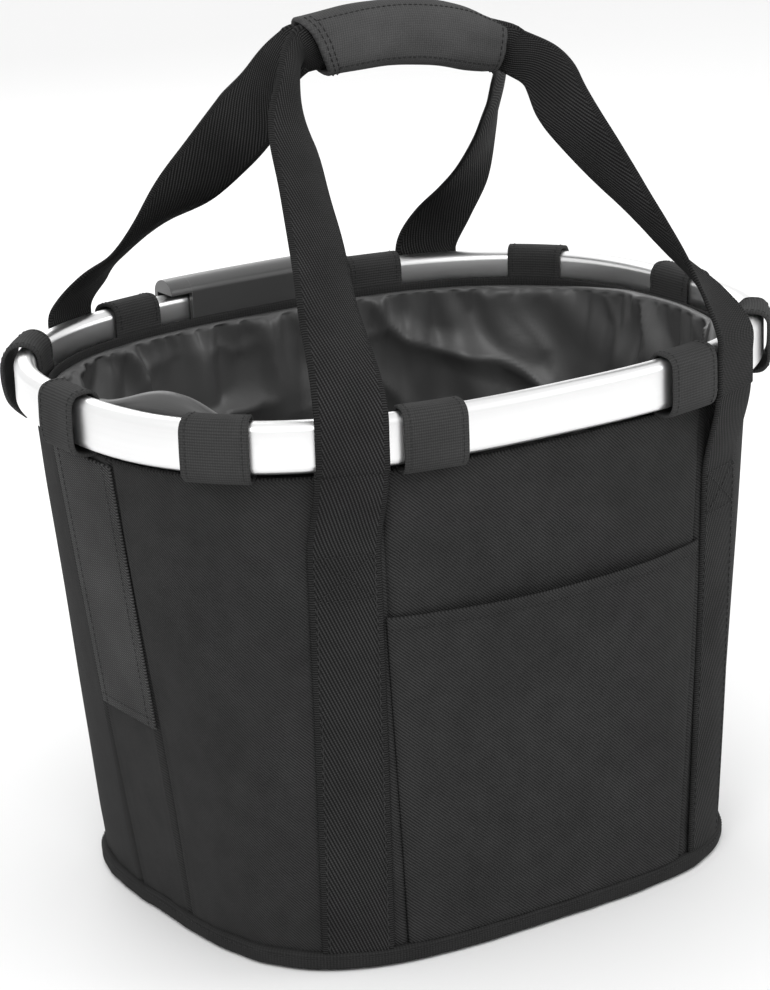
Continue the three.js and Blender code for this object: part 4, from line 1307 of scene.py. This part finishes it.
def make_grip():
    half_depth, half_height = 8.2 * MM, 13.4 * MM
    top_rear, bottom_rear = math.radians(80), math.radians(280)
    grid, uv = sleeve_grid(top_rear, bottom_rear, 60, half_depth, half_height, 120)
    wrap = slab("grip_sleeve", grid[::-1], uv[::-1], 2.2 * MM, SLEEVE_CLOTH)
    on_body(wrap, "front_handle", ["grip_wrap"])
    out = grid_normals(grid, False)[0]
    rows = []
    for k in (13, 42):
        rows.append((grid[k, 6:-4] + out[k, 6:-4] * 1.15 * MM, out[k, 6:-4]))
    for k in (3, 6):
        rows.append((grid[4:-4, k] + out[4:-4, k] * 1.15 * MM, out[4:-4, k]))
    rows.append((grid[4:-4, -4] + out[4:-4, -4] * 1.15 * MM, out[4:-4, -4]))
    on_body(stitches("grip_stitching", rows, THREAD, pitch=2.8 * MM, thread=0.6 * MM),
            "front_handle")

    flap_turn = math.radians(78)
    grid, uv = sleeve_grid(-flap_turn, flap_turn, 40, half_depth, half_height, 100)
    flap = slab("grip_closing_flap", grid[::-1], uv[::-1], 2.0 * MM, SLEEVE_CLOTH)
    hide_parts("grip_flap")
    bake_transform(flap)


# ------------------------------------------------------------------ studio
def make_studio():
    white = Finish("studio_white", Specular_IOR_Level=0.2)
    tone = white.noise(0.8, 2.0)
    white.colour(grey(0.86), grey(0.9), tone)
    white.roughness(tone * 0.1 + 0.8)
    floor = slab("studio_floor", *flat_floor(), 10 * MM, white.material)

    world = bpy.data.worlds.new("studio_air")
    bpy.context.scene.world = world
    world.use_nodes = True
    world.node_tree.nodes["Background"].inputs["Color"].default_value = (1, 1, 1, 1)
    world.node_tree.nodes["Background"].inputs["Strength"].default_value = 1.03
    lamp("key_light", (-0.9, -1.1, 1.5), (0, 0, 0.2), 1.1, 12)
    lamp("fill_light", (1.5, -0.9, 0.9), (0, 0, 0.2), 1.0, 6)
    lamp("back_light", (0.3, 1.6, 1.3), (0, 0, 0.25), 1.2, 9)


def flat_floor():
    span = np.linspace(-6, 6, 5)
    grid = np.stack(np.meshgrid(span, span, indexing="ij") + [np.full((5, 5), -5.4 * MM)], axis=2)
    return grid, grid[:, :, :2].copy()


def lamp(name, place, target, size, power):
    data = bpy.data.lights.new(name, "AREA")
    data.shape = "DISK"
    data.size = size
    data.energy = power
    light = bpy.data.objects.new(name, data)
    light.location = place
    light.rotation_euler = (Vector(target) - Vector(place)).to_track_quat("-Z", "Y").to_euler()
    bpy.context.scene.collection.objects.link(light)


def make_camera():
    roll = math.radians(2.16)
    back, right, up = view_directions()
    rolled_right = right * math.cos(roll) - up * math.sin(roll)
    rolled_up = right * math.sin(roll) + up * math.cos(roll)
    data = bpy.data.cameras.new("camera")
    data.lens = 115.2
    data.sensor_width = 36
    data.clip_end = 30
    camera = bpy.data.objects.new("camera", data)
    turn = Matrix((rolled_right, rolled_up, back)).transposed().to_4x4()
    camera.matrix_world = Matrix.Translation(view_place()) @ turn
    bpy.context.scene.collection.objects.link(camera)
    bpy.context.scene.camera = camera
    bpy.context.scene.view_settings.view_transform = "Standard"


make_camera()
make_base()
make_walls()
make_pocket()
make_sewn_straps()
make_end_strips()
make_lining()
make_rim()
make_loops()
make_cover()
make_button_spring()
dress_frame_nodes()
make_handles()
make_grip()
make_studio()
